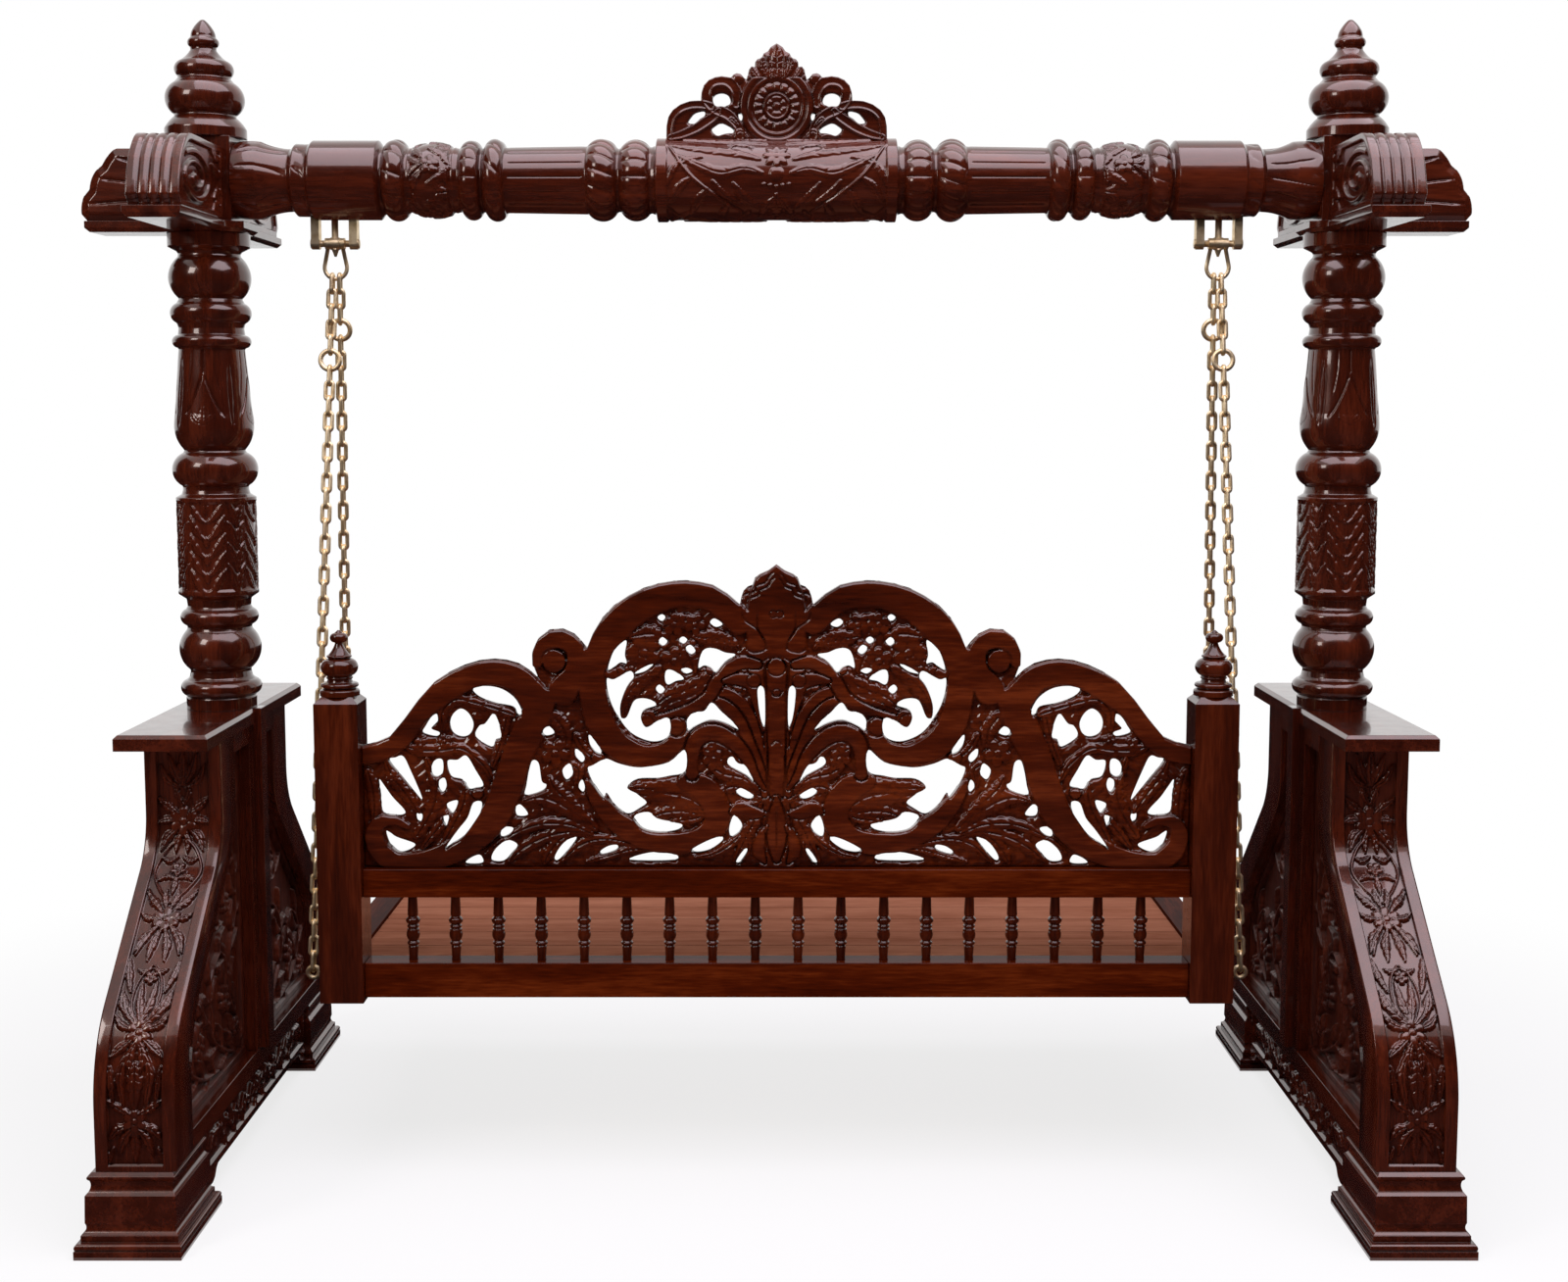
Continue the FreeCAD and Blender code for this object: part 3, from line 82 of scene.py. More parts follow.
def wood(name, tones, roughness, coat, sheen, grain_axis, grain=1.0):
    """Lacquered hardwood: streaks of three tones along one axis, painted shade in its hollows, pores and a
    coat.
    """
    made, nodes, links, shader = material(name)
    place = add_node(nodes, "TexCoord")
    scale = [9.0, 9.0, 9.0]
    scale[grain_axis] = 0.9
    stretch = add_node(nodes, "Mapping", Scale=scale)
    broad = add_node(nodes, "TexNoise", Scale=2.2, Detail=5.0, Roughness=0.62, Distortion=0.7)
    fine = add_node(nodes, "TexNoise", Scale=26.0, Detail=3.0)
    both = add_node(nodes, "Mix", Factor=0.3)
    ramp = add_node(nodes, "ValToRGB")
    stops = ramp.color_ramp.elements
    stops[0].position, stops[0].color = 0.5 - 0.17 * grain, (*tones[0], 1)
    stops[1].position, stops[1].color = 0.5 + 0.17 * grain, (*tones[2], 1)
    stops.new(0.5).color = (*tones[1], 1)
    # Painted shade: the piece's own ambient occlusion darkens its base colour in hollows and creases.
    hollow = add_node(nodes, "AmbientOcclusion", Distance=11 * mm)
    hollow.samples = 8
    hollow.only_local = True
    painted_shade_level = add_node(nodes, "MapRange", From_Min=0.30, From_Max=0.92, To_Min=0.25)
    shade_painted_colour = add_node(nodes, "Mix")
    shade_painted_colour.data_type = "RGBA"
    shade_painted_colour.blend_type = "MULTIPLY"
    shade_painted_colour.inputs["Factor"].default_value = 1.0
    uneven = add_node(nodes, "TexNoise", Scale=30.0, Detail=2.0)
    rough = add_node(nodes, "MapRange", To_Min=roughness * 0.7, To_Max=roughness * 1.4)
    bump = add_node(nodes, "Bump", Strength=0.12, Distance=0.6 * mm)
    wire(
        links, (place, "Object", stretch, "Vector"), (stretch, "Vector", broad, "Vector"),
        (stretch, "Vector", fine, "Vector"), (broad, "Fac", both, "A"), (fine, "Fac", both, "B"),
        (both, "Result", ramp, "Fac"), (hollow, "AO", painted_shade_level, "Value"), (ramp, "Color", shade_painted_colour, "A"),
        (painted_shade_level, "Result", shade_painted_colour, "B"), (shade_painted_colour, "Result", shader, "Base Color"),
        (place, "Object", uneven, "Vector"), (uneven, "Fac", rough, "Value"),
        (rough, "Result", shader, "Roughness"), (fine, "Fac", bump, "Height"),
        (bump, "Normal", shader, "Normal"),
    )
    shader.inputs["Coat Weight"].default_value = coat
    shader.inputs["Coat Roughness"].default_value = 0.05
    shader.inputs["Specular IOR Level"].default_value = sheen
    shader.inputs["Specular Tint"].default_value = (1.0, 0.70, 0.62, 1)
    return made


def brass(name):
    """Antique brass: warm metal, browner in cloudy patches."""
    made, nodes, links, shader = material(name)
    place = add_node(nodes, "TexCoord")
    cloud = add_node(nodes, "TexNoise", Scale=60.0, Detail=4.0)
    ramp = add_node(nodes, "ValToRGB")
    stops = ramp.color_ramp.elements
    stops[0].position, stops[0].color = 0.30, (0.74, 0.54, 0.29, 1)
    stops[1].position, stops[1].color = 0.58, (1.0, 0.81, 0.54, 1)
    rough = add_node(nodes, "MapRange", To_Min=0.60, To_Max=0.42)
    wire(
        links, (place, "Object", cloud, "Vector"), (cloud, "Fac", ramp, "Fac"),
        (ramp, "Color", shader, "Base Color"), (cloud, "Fac", rough, "Value"),
        (rough, "Result", shader, "Roughness"),
    )
    shader.inputs["Metallic"].default_value = 1.0
    return made


stand_tones = (0.022, 0.0028, 0.0010), (0.048, 0.0062, 0.0018), (0.100, 0.0150, 0.0045)
seat_tones = (0.020, 0.0022, 0.0004), (0.060, 0.0068, 0.0008), (0.136, 0.0210, 0.0036)
upright_tones = (0.018, 0.0020, 0.0004), (0.046, 0.0054, 0.0007), (0.096, 0.0140, 0.0028)
deck_tones = (0.240, 0.078, 0.038), (0.400, 0.160, 0.090), (0.545, 0.245, 0.142)
stand_along_x = wood("rosewood_along_x", stand_tones, 0.22, 0.75, 0.40, 0)
stand_along_y = wood("rosewood_along_y", stand_tones, 0.22, 0.75, 0.40, 1)
stand_along_z = wood("rosewood_along_z", stand_tones, 0.22, 0.75, 0.40, 2)
panel_wood = wood("rosewood_panels", stand_tones, 0.42, 0.22, 0.20, 2)
seat_carved = wood("seat_wood_carved", seat_tones, 0.32, 1.0, 0.08, 0)
seat_along_x = wood("seat_wood_along_x", seat_tones, 0.32, 0.30, 0.0, 0)
seat_along_y = wood("seat_wood_along_y", seat_tones, 0.34, 0.12, 0.0, 1)
seat_along_z = wood("seat_wood_along_z", upright_tones, 0.32, 0.9, 0.08, 2)
deck_wood = wood("deck_wood", deck_tones, 0.5, 0.0, 0.0, 0, 1.4)
metal = brass("antique_brass_metal")

# Meshes


def piece(name, points, faces, body, slot, look, replaces=(), smooth_faces=True):
    """A mesh of rows of points and rows of faces, riding on a body of the frame."""
    points = np.asarray(points, dtype=np.float32)
    faces = [np.asarray(rows, dtype=np.int32) for rows in faces if len(rows)]
    mesh = bpy.data.meshes.new(name)
    mesh.vertices.add(len(points))
    mesh.vertices.foreach_set("co", points.ravel())
    corners = np.concatenate([rows.ravel() for rows in faces])
    mesh.loops.add(len(corners))
    mesh.loops.foreach_set("vertex_index", corners)
    counts = np.concatenate([np.full(len(rows), rows.shape[1]) for rows in faces])
    starts = np.concatenate([[0], np.cumsum(counts)[:-1]]).astype(np.int32)
    mesh.polygons.add(len(counts))
    mesh.polygons.foreach_set("loop_start", starts)
    mesh.polygons.foreach_set("use_smooth", np.full(len(counts), smooth_faces))
    mesh.update(calc_edges=True)
    mesh.validate()
    mesh.materials.append(look)
    made = bpy.data.objects.new(name, mesh)
    bpy.context.scene.collection.objects.link(made)
    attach(made, body)
    if replaces:
        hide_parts(*replaces)
    return made


def smooth(points, steps=6, closed=False):
    """A finer line through points, as a Catmull-Rom curve."""
    rows = np.asarray(points, dtype=float)
    if closed:
        padded = np.vstack([rows[-1:], rows, rows[:2]])
    else:
        padded = np.vstack([2 * rows[0] - rows[1], rows, 2 * rows[-1] - rows[-2]])
    made = []
    for a, b, c, d in zip(padded, padded[1:], padded[2:], padded[3:]):
        for t in np.arange(steps) / steps:
            bend = (2 * a - 5 * b + 4 * c - d) * t ** 2 + (3 * b - a - 3 * c + d) * t ** 3
            made.append((2 * b + (c - a) * t + bend) / 2)
    if not closed:
        made.append(rows[-1])
    return np.array(made)


def edge_distance(u, v, loop):
    """Signed distance to a closed line, negative inside it."""
    best = np.full(u.shape, 9.0)
    inside = np.zeros(u.shape, dtype=bool)
    for a, b in zip(loop, np.roll(loop, -1, axis=0)):
        du, dv = b[0] - a[0], b[1] - a[1]
        run = du * du + dv * dv
        if run == 0:
            continue
        t = np.clip(((u - a[0]) * du + (v - a[1]) * dv) / run, 0, 1)
        best = np.minimum(best, np.hypot(u - a[0] - t * du, v - a[1] - t * dv))
        if a[1] != b[1]:
            crossing = (a[1] > v) != (b[1] > v)
            inside ^= crossing & (u < a[0] + (v - a[1]) / dv * du)
    return np.where(inside, -best, best)


class Relief:
    """Heights over a patch of points; zero is the ground, and carving raises or grooves it."""

    def __init__(self, u, v, ground=0.0):
        self.u, self.v = u, v
        self.height = np.full(u.shape, float(ground))

    def around(self, line, margin):
        """Which points lie near a line."""
        low, high = line[:, :2].min(axis=0) - margin, line[:, :2].max(axis=0) + margin
        return np.nonzero((self.u > low[0]) & (self.u < high[0]) & (self.v > low[1]) & (self.v < high[1]))

    def along(self, line):
        """Near a line of (u, v, half width): points, distance over half width, share, side and width."""
        where = self.around(line, line[:, 2].max() * 1.3)
        u, v = self.u[where], self.v[where]
        best = np.full(u.shape, 9.0)
        side = np.zeros(u.shape)
        share = np.zeros(u.shape)
        width = np.full(u.shape, 1.0)
        count = len(line) - 1
        for k in range(count):
            a, b = line[k], line[k + 1]
            du, dv = b[0] - a[0], b[1] - a[1]
            run = max(du * du + dv * dv, 1e-12)
            t = np.clip(((u - a[0]) * du + (v - a[1]) * dv) / run, 0, 1)
            off_u, off_v = u - a[0] - t * du, v - a[1] - t * dv
            wide = a[2] + (b[2] - a[2]) * t
            q = np.hypot(off_u, off_v) / np.maximum(wide, 1e-5)
            near = q < best
            best = np.where(near, q, best)
            share = np.where(near, (k + t) / count, share)
            side = np.where(near, np.sign(off_u * dv - off_v * du), side)
            width = np.where(near, wide, width)
        return where, best, share, side, width

    def lift(self, where, height):
        self.height[where] = np.maximum(self.height[where], height)

    def sink(self, where, depth):
        self.height[where] = self.height[where] - depth

    def band(self, points, top, edge=0.22, steps=6, lip=0.0):
        """A flat-topped band with rounded edges; lip sinks its middle between two raised rims."""
        line = smooth(points, steps)
        where, q, _, _, _ = self.along(line)
        round_off = np.clip((1.02 - q) / edge, 0, 1)
        shape = np.sqrt(np.clip(1 - (1 - round_off) ** 2, 0, 1))
        hollow = lip * np.clip(1 - (q / 0.72) ** 4, 0, 1)
        ground = self.height[where]
        raised = ground + (top - hollow - ground) * shape
        self.height[where] = np.where(q < 1.02, np.maximum(ground, raised), ground)

    def leaf(self, points, top, vein=0.0, lobes=0, steps=6, drop=0.35):
        """A leaf along a line: domed, with a sunk midrib and lobed edges."""
        line = smooth(points, steps)
        where, q, share, side, width = self.along(line)
        if lobes:
            q = q / (0.80 + 0.20 * np.abs(np.sin(math.pi * lobes * share)) ** 0.7)
        dome = top * (1 - drop * q ** 2) * np.clip((1 - q) * 4.5, 0, 1) ** 0.6
        if vein:
            dome = dome - vein * np.exp(-((q / 0.13) ** 2)) * (q < 1)
            slant = np.cos(2 * math.pi * (share * max(lobes, 5) - 0.55 * q))
            dome = dome - vein * 0.45 * np.clip(slant, 0, 1) ** 3 * (q > 0.15) * (q < 1)
        self.lift(where, np.where(q < 1, dome, -9.0))

    def strand(self, points, top, gap, steps=6):
        """A rounded strand over whatever lies there, with a gap sunk on both its sides."""
        where, q, _, _, _ = self.along(smooth(points, steps))
        ground = self.height[where]
        beside = np.where(q < 1.22, np.minimum(ground, gap), ground)
        self.height[where] = np.where(q < 0.94, top - 2.4 * mm * (q / 0.94) ** 2, beside)

    def groove(self, points, width, depth, steps=5):
        """A V-shaped cut along a line."""
        rows = np.asarray(points, dtype=float)
        line = smooth(np.column_stack([rows[:, :2], np.full(len(rows), width)]), steps)
        where, q, share, _, _ = self.along(line)
        fade = np.clip(np.minimum(share, 1 - share) * 8, 0.25, 1)
        self.sink(where, depth * fade * np.clip(1 - q, 0, 1))

    def dome(self, centre, radius, top, hollow=0.0):
        """A round boss, or with hollow a cup."""
        q = np.hypot(self.u - centre[0], self.v - centre[1]) / radius
        shape = np.sqrt(np.clip(1 - q ** 2, 0, 1)) * top
        if hollow:
            shape = shape - hollow * np.clip(1 - (q / 0.55) ** 2, 0, 1)
        self.lift(np.nonzero(q < 1), shape[q < 1])

    def flower(self, centre, radius, top, petals=5, turn=0.0, heart=0.28):
        """A flower of petals round a boss."""
        du, dv = self.u - centre[0], self.v - centre[1]
        rho, phi = np.hypot(du, dv) / radius, np.arctan2(dv, du) - turn
        petal = np.abs(np.cos(petals * phi / 2))
        rim = 0.55 + 0.45 * petal ** 0.6
        q = rho / rim
        shape = top * (0.55 + 0.45 * np.sin(np.clip(q, 0, 1) * math.pi * 0.75)) * (0.72 + 0.28 * petal)
        shape = shape * np.clip((1 - q) * 5, 0, 1) ** 0.5
        shape = np.where(rho < heart, top * np.sqrt(np.clip(1.3 - (rho / heart) ** 2, 0, 2)), shape)
        inside = q < 1
        self.lift(np.nonzero(inside), shape[inside])


def on_pixels(rows, fit):
    """Rows of pixels, with half widths in pixels if given, as metres on a board."""
    middle, base, half, rise, width, height = fit
    made = []
    for x, y, *rest in rows:
        wide = [r / half * width for r in rest]
        made.append([(x - middle) / half * width, (base - y) / rise * height] + wide)
    return np.array(made)


def mirrored(rows):
    """The same rows on the other side of the middle line."""
    return rows * np.array([-1] + [1] * (rows.shape[1] - 1))


def outlined(outline, holes, fit, base, u, v):
    """Distance to a mirrored outline with holes, negative in the wood; the left half serves both."""
    u = -np.abs(u)
    left = on_pixels(outline, fit)
    left = np.vstack([[left[0][0], base], left])
    solid = edge_distance(u, v, np.vstack([left, mirrored(left)[::-1][1:]]))
    for hole in holes:
        loop = smooth(on_pixels(hole, fit), 4, True)
        low, high = loop.min(axis=0) - 0.03, loop.max(axis=0) + 0.03
        near = np.nonzero((u > low[0]) & (u < high[0]) & (v > low[1]) & (v < high[1]))
        solid[near] = np.maximum(solid[near], -edge_distance(u[near], v[near], loop))
    return solid


def rounded_edge(deep, radius):
    """How far a rounded edge lies under the face, so deep inside the outline."""
    inset = np.clip(1 - deep / radius, 0, 1)
    return radius * (1 - np.sqrt(np.clip(1 - inset ** 2, 0, 1)))


def board_grid(low, high, step, solid):
    """A square grid over an outline, its nodes near the edge moved onto it, and the faces kept."""
    us = np.arange(low[0] - 2 * step, high[0] + 3 * step, step)
    vs = np.arange(low[1] - 2 * step, high[1] + 3 * step, step)
    u, v = np.meshgrid(us, vs, indexing="ij")
    s = solid(u, v)
    gu, gv = np.gradient(s, step)
    size = np.maximum(np.hypot(gu, gv), 1e-6)
    gu, gv = gu / size, gv / size
    reach = 0.55 * step * np.maximum(np.abs(gu), np.abs(gv))
    edge = np.abs(s) <= reach
    u = np.where(edge, u - gu * s, u)
    v = np.where(edge, v - gv * s, v)
    was = s.copy()
    s = np.where(edge, 0.0, s)
    number = np.arange(u.size).reshape(u.shape)
    square = np.stack([number[:-1, :-1], number[1:, :-1], number[1:, 1:], number[:-1, 1:]], axis=-1)
    square = square.reshape(-1, 4)
    kept = (s.ravel()[square] <= 0)
    mean = was.ravel()[square].mean(axis=1)
    whole = square[kept.all(axis=1) & (mean < 0)]
    three = kept.sum(axis=1) == 3
    corner = square[three]
    missing = np.argmin(kept[three], axis=1)
    order = (missing[:, None] + np.array([1, 2, 3])) % 4
    triangle = np.take_along_axis(corner, order, axis=1)
    centre = was.ravel()[triangle].mean(axis=1)
    triangle = triangle[centre < 0]
    used = np.unique(np.concatenate([whole.ravel(), triangle.ravel()]))
    again = np.zeros(u.size, dtype=np.int64)
    again[used] = np.arange(len(used))
    flat = [a.ravel()[used] for a in (u, v, s, gu, gv)]
    return flat, again[whole], again[triangle]


def open_edges(*face_rows):
    """The directed edges that only one face uses."""
    pairs = [np.stack([rows, np.roll(rows, -1, axis=1)], axis=-1).reshape(-1, 2) for rows in face_rows]
    pairs = np.concatenate(pairs)
    key = np.minimum(pairs[:, 0], pairs[:, 1]) * np.int64(2 ** 31) + np.maximum(pairs[:, 0], pairs[:, 1])
    _, first, count = np.unique(key, return_index=True, return_counts=True)
    return pairs[first[count == 1]]


fine_rim = ((0.0, 0.0), (0.25, 0.0), (0.75, 0.0), (1.0, 0.0))


def carved_board(name, place, thickness, low, high, step, solid, carve, rim=(
    (0.0, 0.0), (1.0, 0.0),
), **kind):
    """A board with carving on both faces. rim lists (share across the thickness, inset) round its edge."""
    (u, v, s, gu, gv), whole, triangle = board_grid(low, high, step, solid)
    depth = carve(u, v, s)
    half = thickness / 2
    count = len(u)
    layers = [np.column_stack([u, -half + depth, v]), np.column_stack([u, half - depth, v])]
    edges = open_edges(whole, triangle)
    rows = [whole, whole[:, ::-1] + count]
    corners = [triangle, triangle[:, ::-1] + count]
    loop = np.unique(edges)
    to_loop = np.zeros(count, dtype=np.int64)
    to_loop[loop] = np.arange(len(loop))
    previous = edges
    start = 2 * count
    for share, inset in rim[1:-1]:
        across = (-half + depth[loop]) + (thickness - 2 * depth[loop]) * share
        layers.append(np.column_stack([u[loop] - gu[loop] * inset, across, v[loop] - gv[loop] * inset]))
        following = to_loop[edges] + start
        rows.append(np.column_stack([previous[:, 1], previous[:, 0], following[:, 0], following[:, 1]]))
        previous = following
        start += len(loop)
    last = edges + count
    rows.append(np.column_stack([previous[:, 1], previous[:, 0], last[:, 0], last[:, 1]]))
    points = place(np.vstack(layers))
    return piece(name, points, [np.vstack(rows), np.vstack(corners)], **kind)


# Carved back of the seat, read off an enlarged front view in pixels

back_low, back_high = box_of("carved_back")
back_width = back_high.x
back_height = back_high.z - back_low.z
back_fit = (1542, 1065, 1390, 1013, back_width, back_height)
back_outline_pixels = [
    (152, 655), (205, 642), (245, 625), (275, 590), (300, 560), (345, 500), (400, 440), (450, 408),
    (500, 385), (550, 370), (600, 365), (640, 369), (680, 380), (715, 402), (745, 430), (728, 385),
    (727, 340), (748, 296), (785, 268), (830, 265), (868, 282), (893, 308), (910, 330), (930, 280),
    (960, 230), (1000, 188), (1050, 155), (1100, 130), (1150, 115), (1200, 107), (1240, 105), (1285, 110),
    (1330, 120), (1380, 150), (1420, 185), (1425, 160), (1432, 140), (1446, 126), (1462, 120), (1470, 97),
    (1485, 85), (1515, 72), (1542, 52),
]
back_hole_pixels = [
    [(205, 770), (222, 790), (250, 830), (285, 868), (290, 885), (262, 890), (218, 880), (210, 830)],
    [(240, 706), (262, 696), (288, 692), (312, 740), (345, 820), (347, 838), (325, 812), (285, 762)],
    [(356, 612), (365, 590), (385, 560), (404, 550), (408, 570), (392, 588), (385, 600), (412, 612),
     (400, 624)],
    [(447, 580), (458, 550), (485, 532), (512, 550), (526, 585), (512, 618), (485, 625), (458, 612)],
    [(532, 625), (545, 590), (565, 582), (590, 550), (603, 560), (618, 605), (618, 628), (600, 635),
     (585, 660)],
    [(525, 468), (548, 458), (590, 458), (630, 470), (668, 500), (690, 545), (675, 550), (660, 525),
     (600, 512), (548, 492)],
    [(436, 708), (470, 704), (500, 690), (530, 738), (556, 788), (530, 798), (505, 800), (485, 770),
     (448, 758)],
    [(382, 722), (400, 702), (420, 705), (420, 745), (400, 760), (382, 750)],
    [(520, 850), (548, 845), (548, 870), (538, 892), (490, 958), (450, 985), (425, 1000), (468, 940),
     (500, 900)],
    [(432, 852), (465, 840), (468, 855), (452, 882), (440, 875)],
    [(225, 945), (240, 950), (262, 965), (318, 985), (318, 998), (290, 1012), (262, 1012), (238, 985)],
    [(405, 775), (425, 765), (432, 790), (420, 812), (405, 800)],
    [(418, 895), (440, 890), (430, 925), (420, 915)],
    [(330, 885), (350, 888), (345, 910), (332, 905)],
    [(717, 712), (742, 714), (752, 775), (768, 788), (752, 808), (697, 822), (700, 790)],
    [(755, 612), (775, 590), (797, 612), (772, 622)],
    [(912, 620), (935, 640), (955, 680), (935, 678), (915, 650)],
    [(907, 735), (925, 722), (965, 700), (1010, 716), (1060, 728), (1105, 728), (1180, 712), (1235, 670),
     (1235, 742), (1180, 758), (1140, 765), (1075, 768), (1040, 795), (1070, 815), (1105, 845),
     (1078, 868), (1040, 885), (1000, 858), (970, 815), (960, 830), (930, 790)],
    [(1062, 895), (1110, 880), (1150, 905), (1220, 918), (1212, 938), (1150, 948), (1090, 935)],
    [(866, 668), (885, 675), (898, 695), (888, 712), (868, 692)],
    [(822, 738), (850, 715), (857, 750), (835, 770)],
    [(875, 792), (888, 770), (897, 795), (890, 812)],
    [(662, 865), (680, 855), (705, 888), (670, 892)],
    [(612, 945), (630, 930), (655, 935), (640, 955), (615, 962)],
    [(590, 1010), (630, 975), (668, 990), (650, 1015), (620, 1045), (580, 1042)],
    [(792, 1035), (810, 1000), (835, 975), (868, 965), (840, 1005), (805, 1042)],
    [(948, 1012), (975, 995), (1005, 992), (1000, 1008), (955, 1022)],
    [(1045, 1042), (1110, 1018), (1190, 1018), (1200, 1042)],
    [(492, 1052), (510, 1035), (540, 1025), (552, 1048), (530, 1055)],
    [(978, 402), (985, 370), (1002, 335), (1040, 303), (1036, 350), (1042, 380), (1020, 378), (1000, 392)],
    [(975, 430), (1000, 432), (1052, 405), (1065, 425), (1040, 460), (1020, 515), (1022, 560),
     (1040, 560), (1062, 510), (1085, 498), (1118, 502), (1140, 520), (1100, 535), (1088, 560),
     (1105, 592), (1140, 575), (1175, 560), (1188, 585), (1178, 625), (1140, 642), (1095, 635),
     (1045, 605), (1000, 540), (978, 480)],
    [(1245, 605), (1242, 570), (1265, 545), (1300, 540), (1325, 512), (1360, 545), (1392, 572),
     (1415, 602), (1370, 580), (1320, 570), (1270, 590)],
    [(1280, 395), (1295, 340), (1330, 330), (1370, 345), (1405, 352), (1370, 375), (1340, 410),
     (1322, 395), (1300, 388)],
    [(1168, 430), (1175, 402), (1200, 405), (1232, 432), (1205, 440), (1178, 452)],
    [(1068, 412), (1100, 392), (1132, 382), (1105, 405), (1075, 415)],
    [(1145, 228), (1160, 218), (1172, 228), (1158, 240)],
    [(1320, 245), (1335, 232), (1362, 250), (1340, 260)],
    [(1148, 308), (1162, 292), (1178, 308), (1162, 322)],
    [(1216, 303), (1230, 292), (1244, 303), (1230, 315)],
    [(1238, 330), (1255, 318), (1272, 338), (1255, 350)],
    [(1138, 466), (1150, 452), (1168, 468), (1152, 482)],
    [(1222, 400), (1245, 395), (1262, 405), (1240, 415)],
    [(1478, 470), (1490, 455), (1502, 475), (1503, 585), (1492, 580), (1482, 530)],
    [(1380, 700), (1395, 692), (1410, 712), (1440, 725), (1465, 778), (1440, 755), (1382, 722)],
    [(1405, 808), (1425, 798), (1465, 822), (1450, 835), (1420, 825)],
    [(1382, 940), (1390, 905), (1402, 892), (1425, 920), (1418, 945), (1390, 962)],
    [(1255, 1005), (1300, 978), (1350, 960), (1360, 975), (1320, 1005), (1275, 1015)],
    [(1405, 1048), (1420, 1020), (1440, 1000), (1442, 1015), (1420, 1048)],
]
back_band_pixels = [
    [(140, 690, 30), (215, 672, 34), (285, 620, 40), (345, 535, 44), (430, 470, 44), (520, 425, 41),
     (600, 410, 42), (680, 435, 45), (735, 500, 52)],
    [(760, 505, 44), (720, 590, 54), (672, 690, 50), (640, 790, 52), (595, 890, 50), (520, 970, 46),
     (420, 1025, 40), (300, 1052, 36), (218, 1022, 36), (186, 960, 30), (205, 915, 22), (255, 905, 16),
     (300, 925, 10)],
    [(1418, 240, 44), (1340, 168, 46), (1240, 150, 44), (1150, 165, 48), (1055, 213, 52), (975, 300, 52),
     (930, 400, 46), (932, 500, 46), (958, 590, 48), (1012, 655, 46), (1090, 688, 38), (1160, 678, 34),
     (1205, 640, 30), (1214, 600, 22)],
    [(1240, 775, 30), (1300, 800, 44), (1340, 860, 44), (1335, 925, 42), (1275, 972, 38), (1180, 985, 38),
     (1080, 955, 38), (1000, 905, 36), (940, 835, 25), (905, 775, 8)],
    [(742, 372, 22), (770, 315, 30), (820, 298, 32), (868, 330, 30), (870, 400, 34), (830, 470, 50)],
    [(1542, 60, 30), (1542, 160, 88), (1542, 300, 100), (1542, 380, 96), (1542, 400, 60)],
    [(1542, 400, 55), (1542, 500, 40), (1542, 640, 40), (1542, 800, 42), (1542, 950, 46),
     (1542, 1062, 60)],
    [(1320, 470, 24), (1400, 500, 26), (1450, 570, 26), (1480, 680, 22), (1496, 800, 18)],
    [(1245, 640, 26), (1290, 592, 30), (1350, 585, 34), (1410, 625, 32), (1450, 700, 24), (1480, 790, 18)],
]
back_leaf_pixels = [
    [(1040, 795, 4), (1110, 800, 34), (1190, 815, 62), (1260, 840, 56), (1310, 880, 30)],
    [(1245, 700, 10), (1262, 640, 30), (1330, 620, 46), (1400, 660, 40), (1440, 740, 14)],
    [(690, 840, 8), (760, 830, 34), (850, 870, 38), (930, 930, 20)],
    [(780, 760, 6), (800, 800, 24), (850, 850, 28), (920, 920, 14)],
    [(560, 1020, 4), (640, 960, 14), (740, 920, 22), (840, 920, 22), (920, 950, 12)],
    [(640, 1045, 6), (690, 1000, 24), (770, 960, 26), (860, 945, 20), (940, 965, 10)],
    [(760, 1050, 8), (780, 1010, 26), (830, 960, 18), (900, 950, 10)],
    [(820, 1045, 6), (880, 990, 22), (960, 968, 20), (1060, 985, 16), (1110, 1005, 4)],
    [(900, 1045, 4), (960, 1030, 16), (1050, 1005, 16), (1120, 1000, 6)],
    [(1010, 560, 4), (1040, 490, 18), (1090, 430, 24), (1150, 395, 16)],
    [(1140, 520, 6), (1180, 490, 30), (1240, 470, 34), (1310, 430, 26), (1340, 390, 8)],
    [(1110, 560, 26), (1130, 545, 18), (1180, 520, 10)],
    [(1290, 300, 10), (1340, 290, 24), (1390, 305, 20), (1415, 330, 8)],
    [(1340, 400, 8), (1390, 385, 24), (1450, 375, 30), (1490, 390, 16)],
    [(230, 700, 8), (255, 760, 26), (300, 820, 24), (340, 880, 8)],
    [(170, 740, 16), (185, 800, 26), (190, 870, 20), (185, 905, 8)],
    [(400, 1020, 6), (450, 930, 20), (490, 850, 24), (500, 770, 8)],
    [(330, 960, 16), (380, 880, 30), (400, 800, 26), (370, 700, 12)],
    [(300, 655, 12), (345, 670, 24), (420, 670, 24), (490, 665, 20), (560, 720, 18), (590, 770, 8)],
    [(425, 600, 12), (425, 540, 22), (470, 500, 22), (530, 510, 20), (600, 530, 24), (660, 550, 16)],
    [(640, 560, 20), (620, 640, 22), (590, 720, 12)],
    [(350, 1000, 8), (380, 960, 18), (430, 900, 18), (450, 860, 8)],
    [(800, 560, 30), (830, 600, 34), (840, 650, 20)],
    [(870, 620, 14), (900, 670, 22), (940, 700, 26), (960, 690, 10)],
    [(860, 720, 20), (880, 740, 20), (870, 790, 10)],
    [(1400, 1045, 8), (1440, 960, 24), (1470, 900, 26), (1480, 850, 12)],
    [(1270, 1030, 6), (1330, 1020, 16), (1390, 985, 18), (1440, 930, 14)],
    [(1385, 860, 8), (1420, 870, 20), (1470, 860, 22), (1500, 830, 10)],
    [(1380, 780, 8), (1430, 780, 16), (1480, 800, 14), (1500, 830, 8)],
]
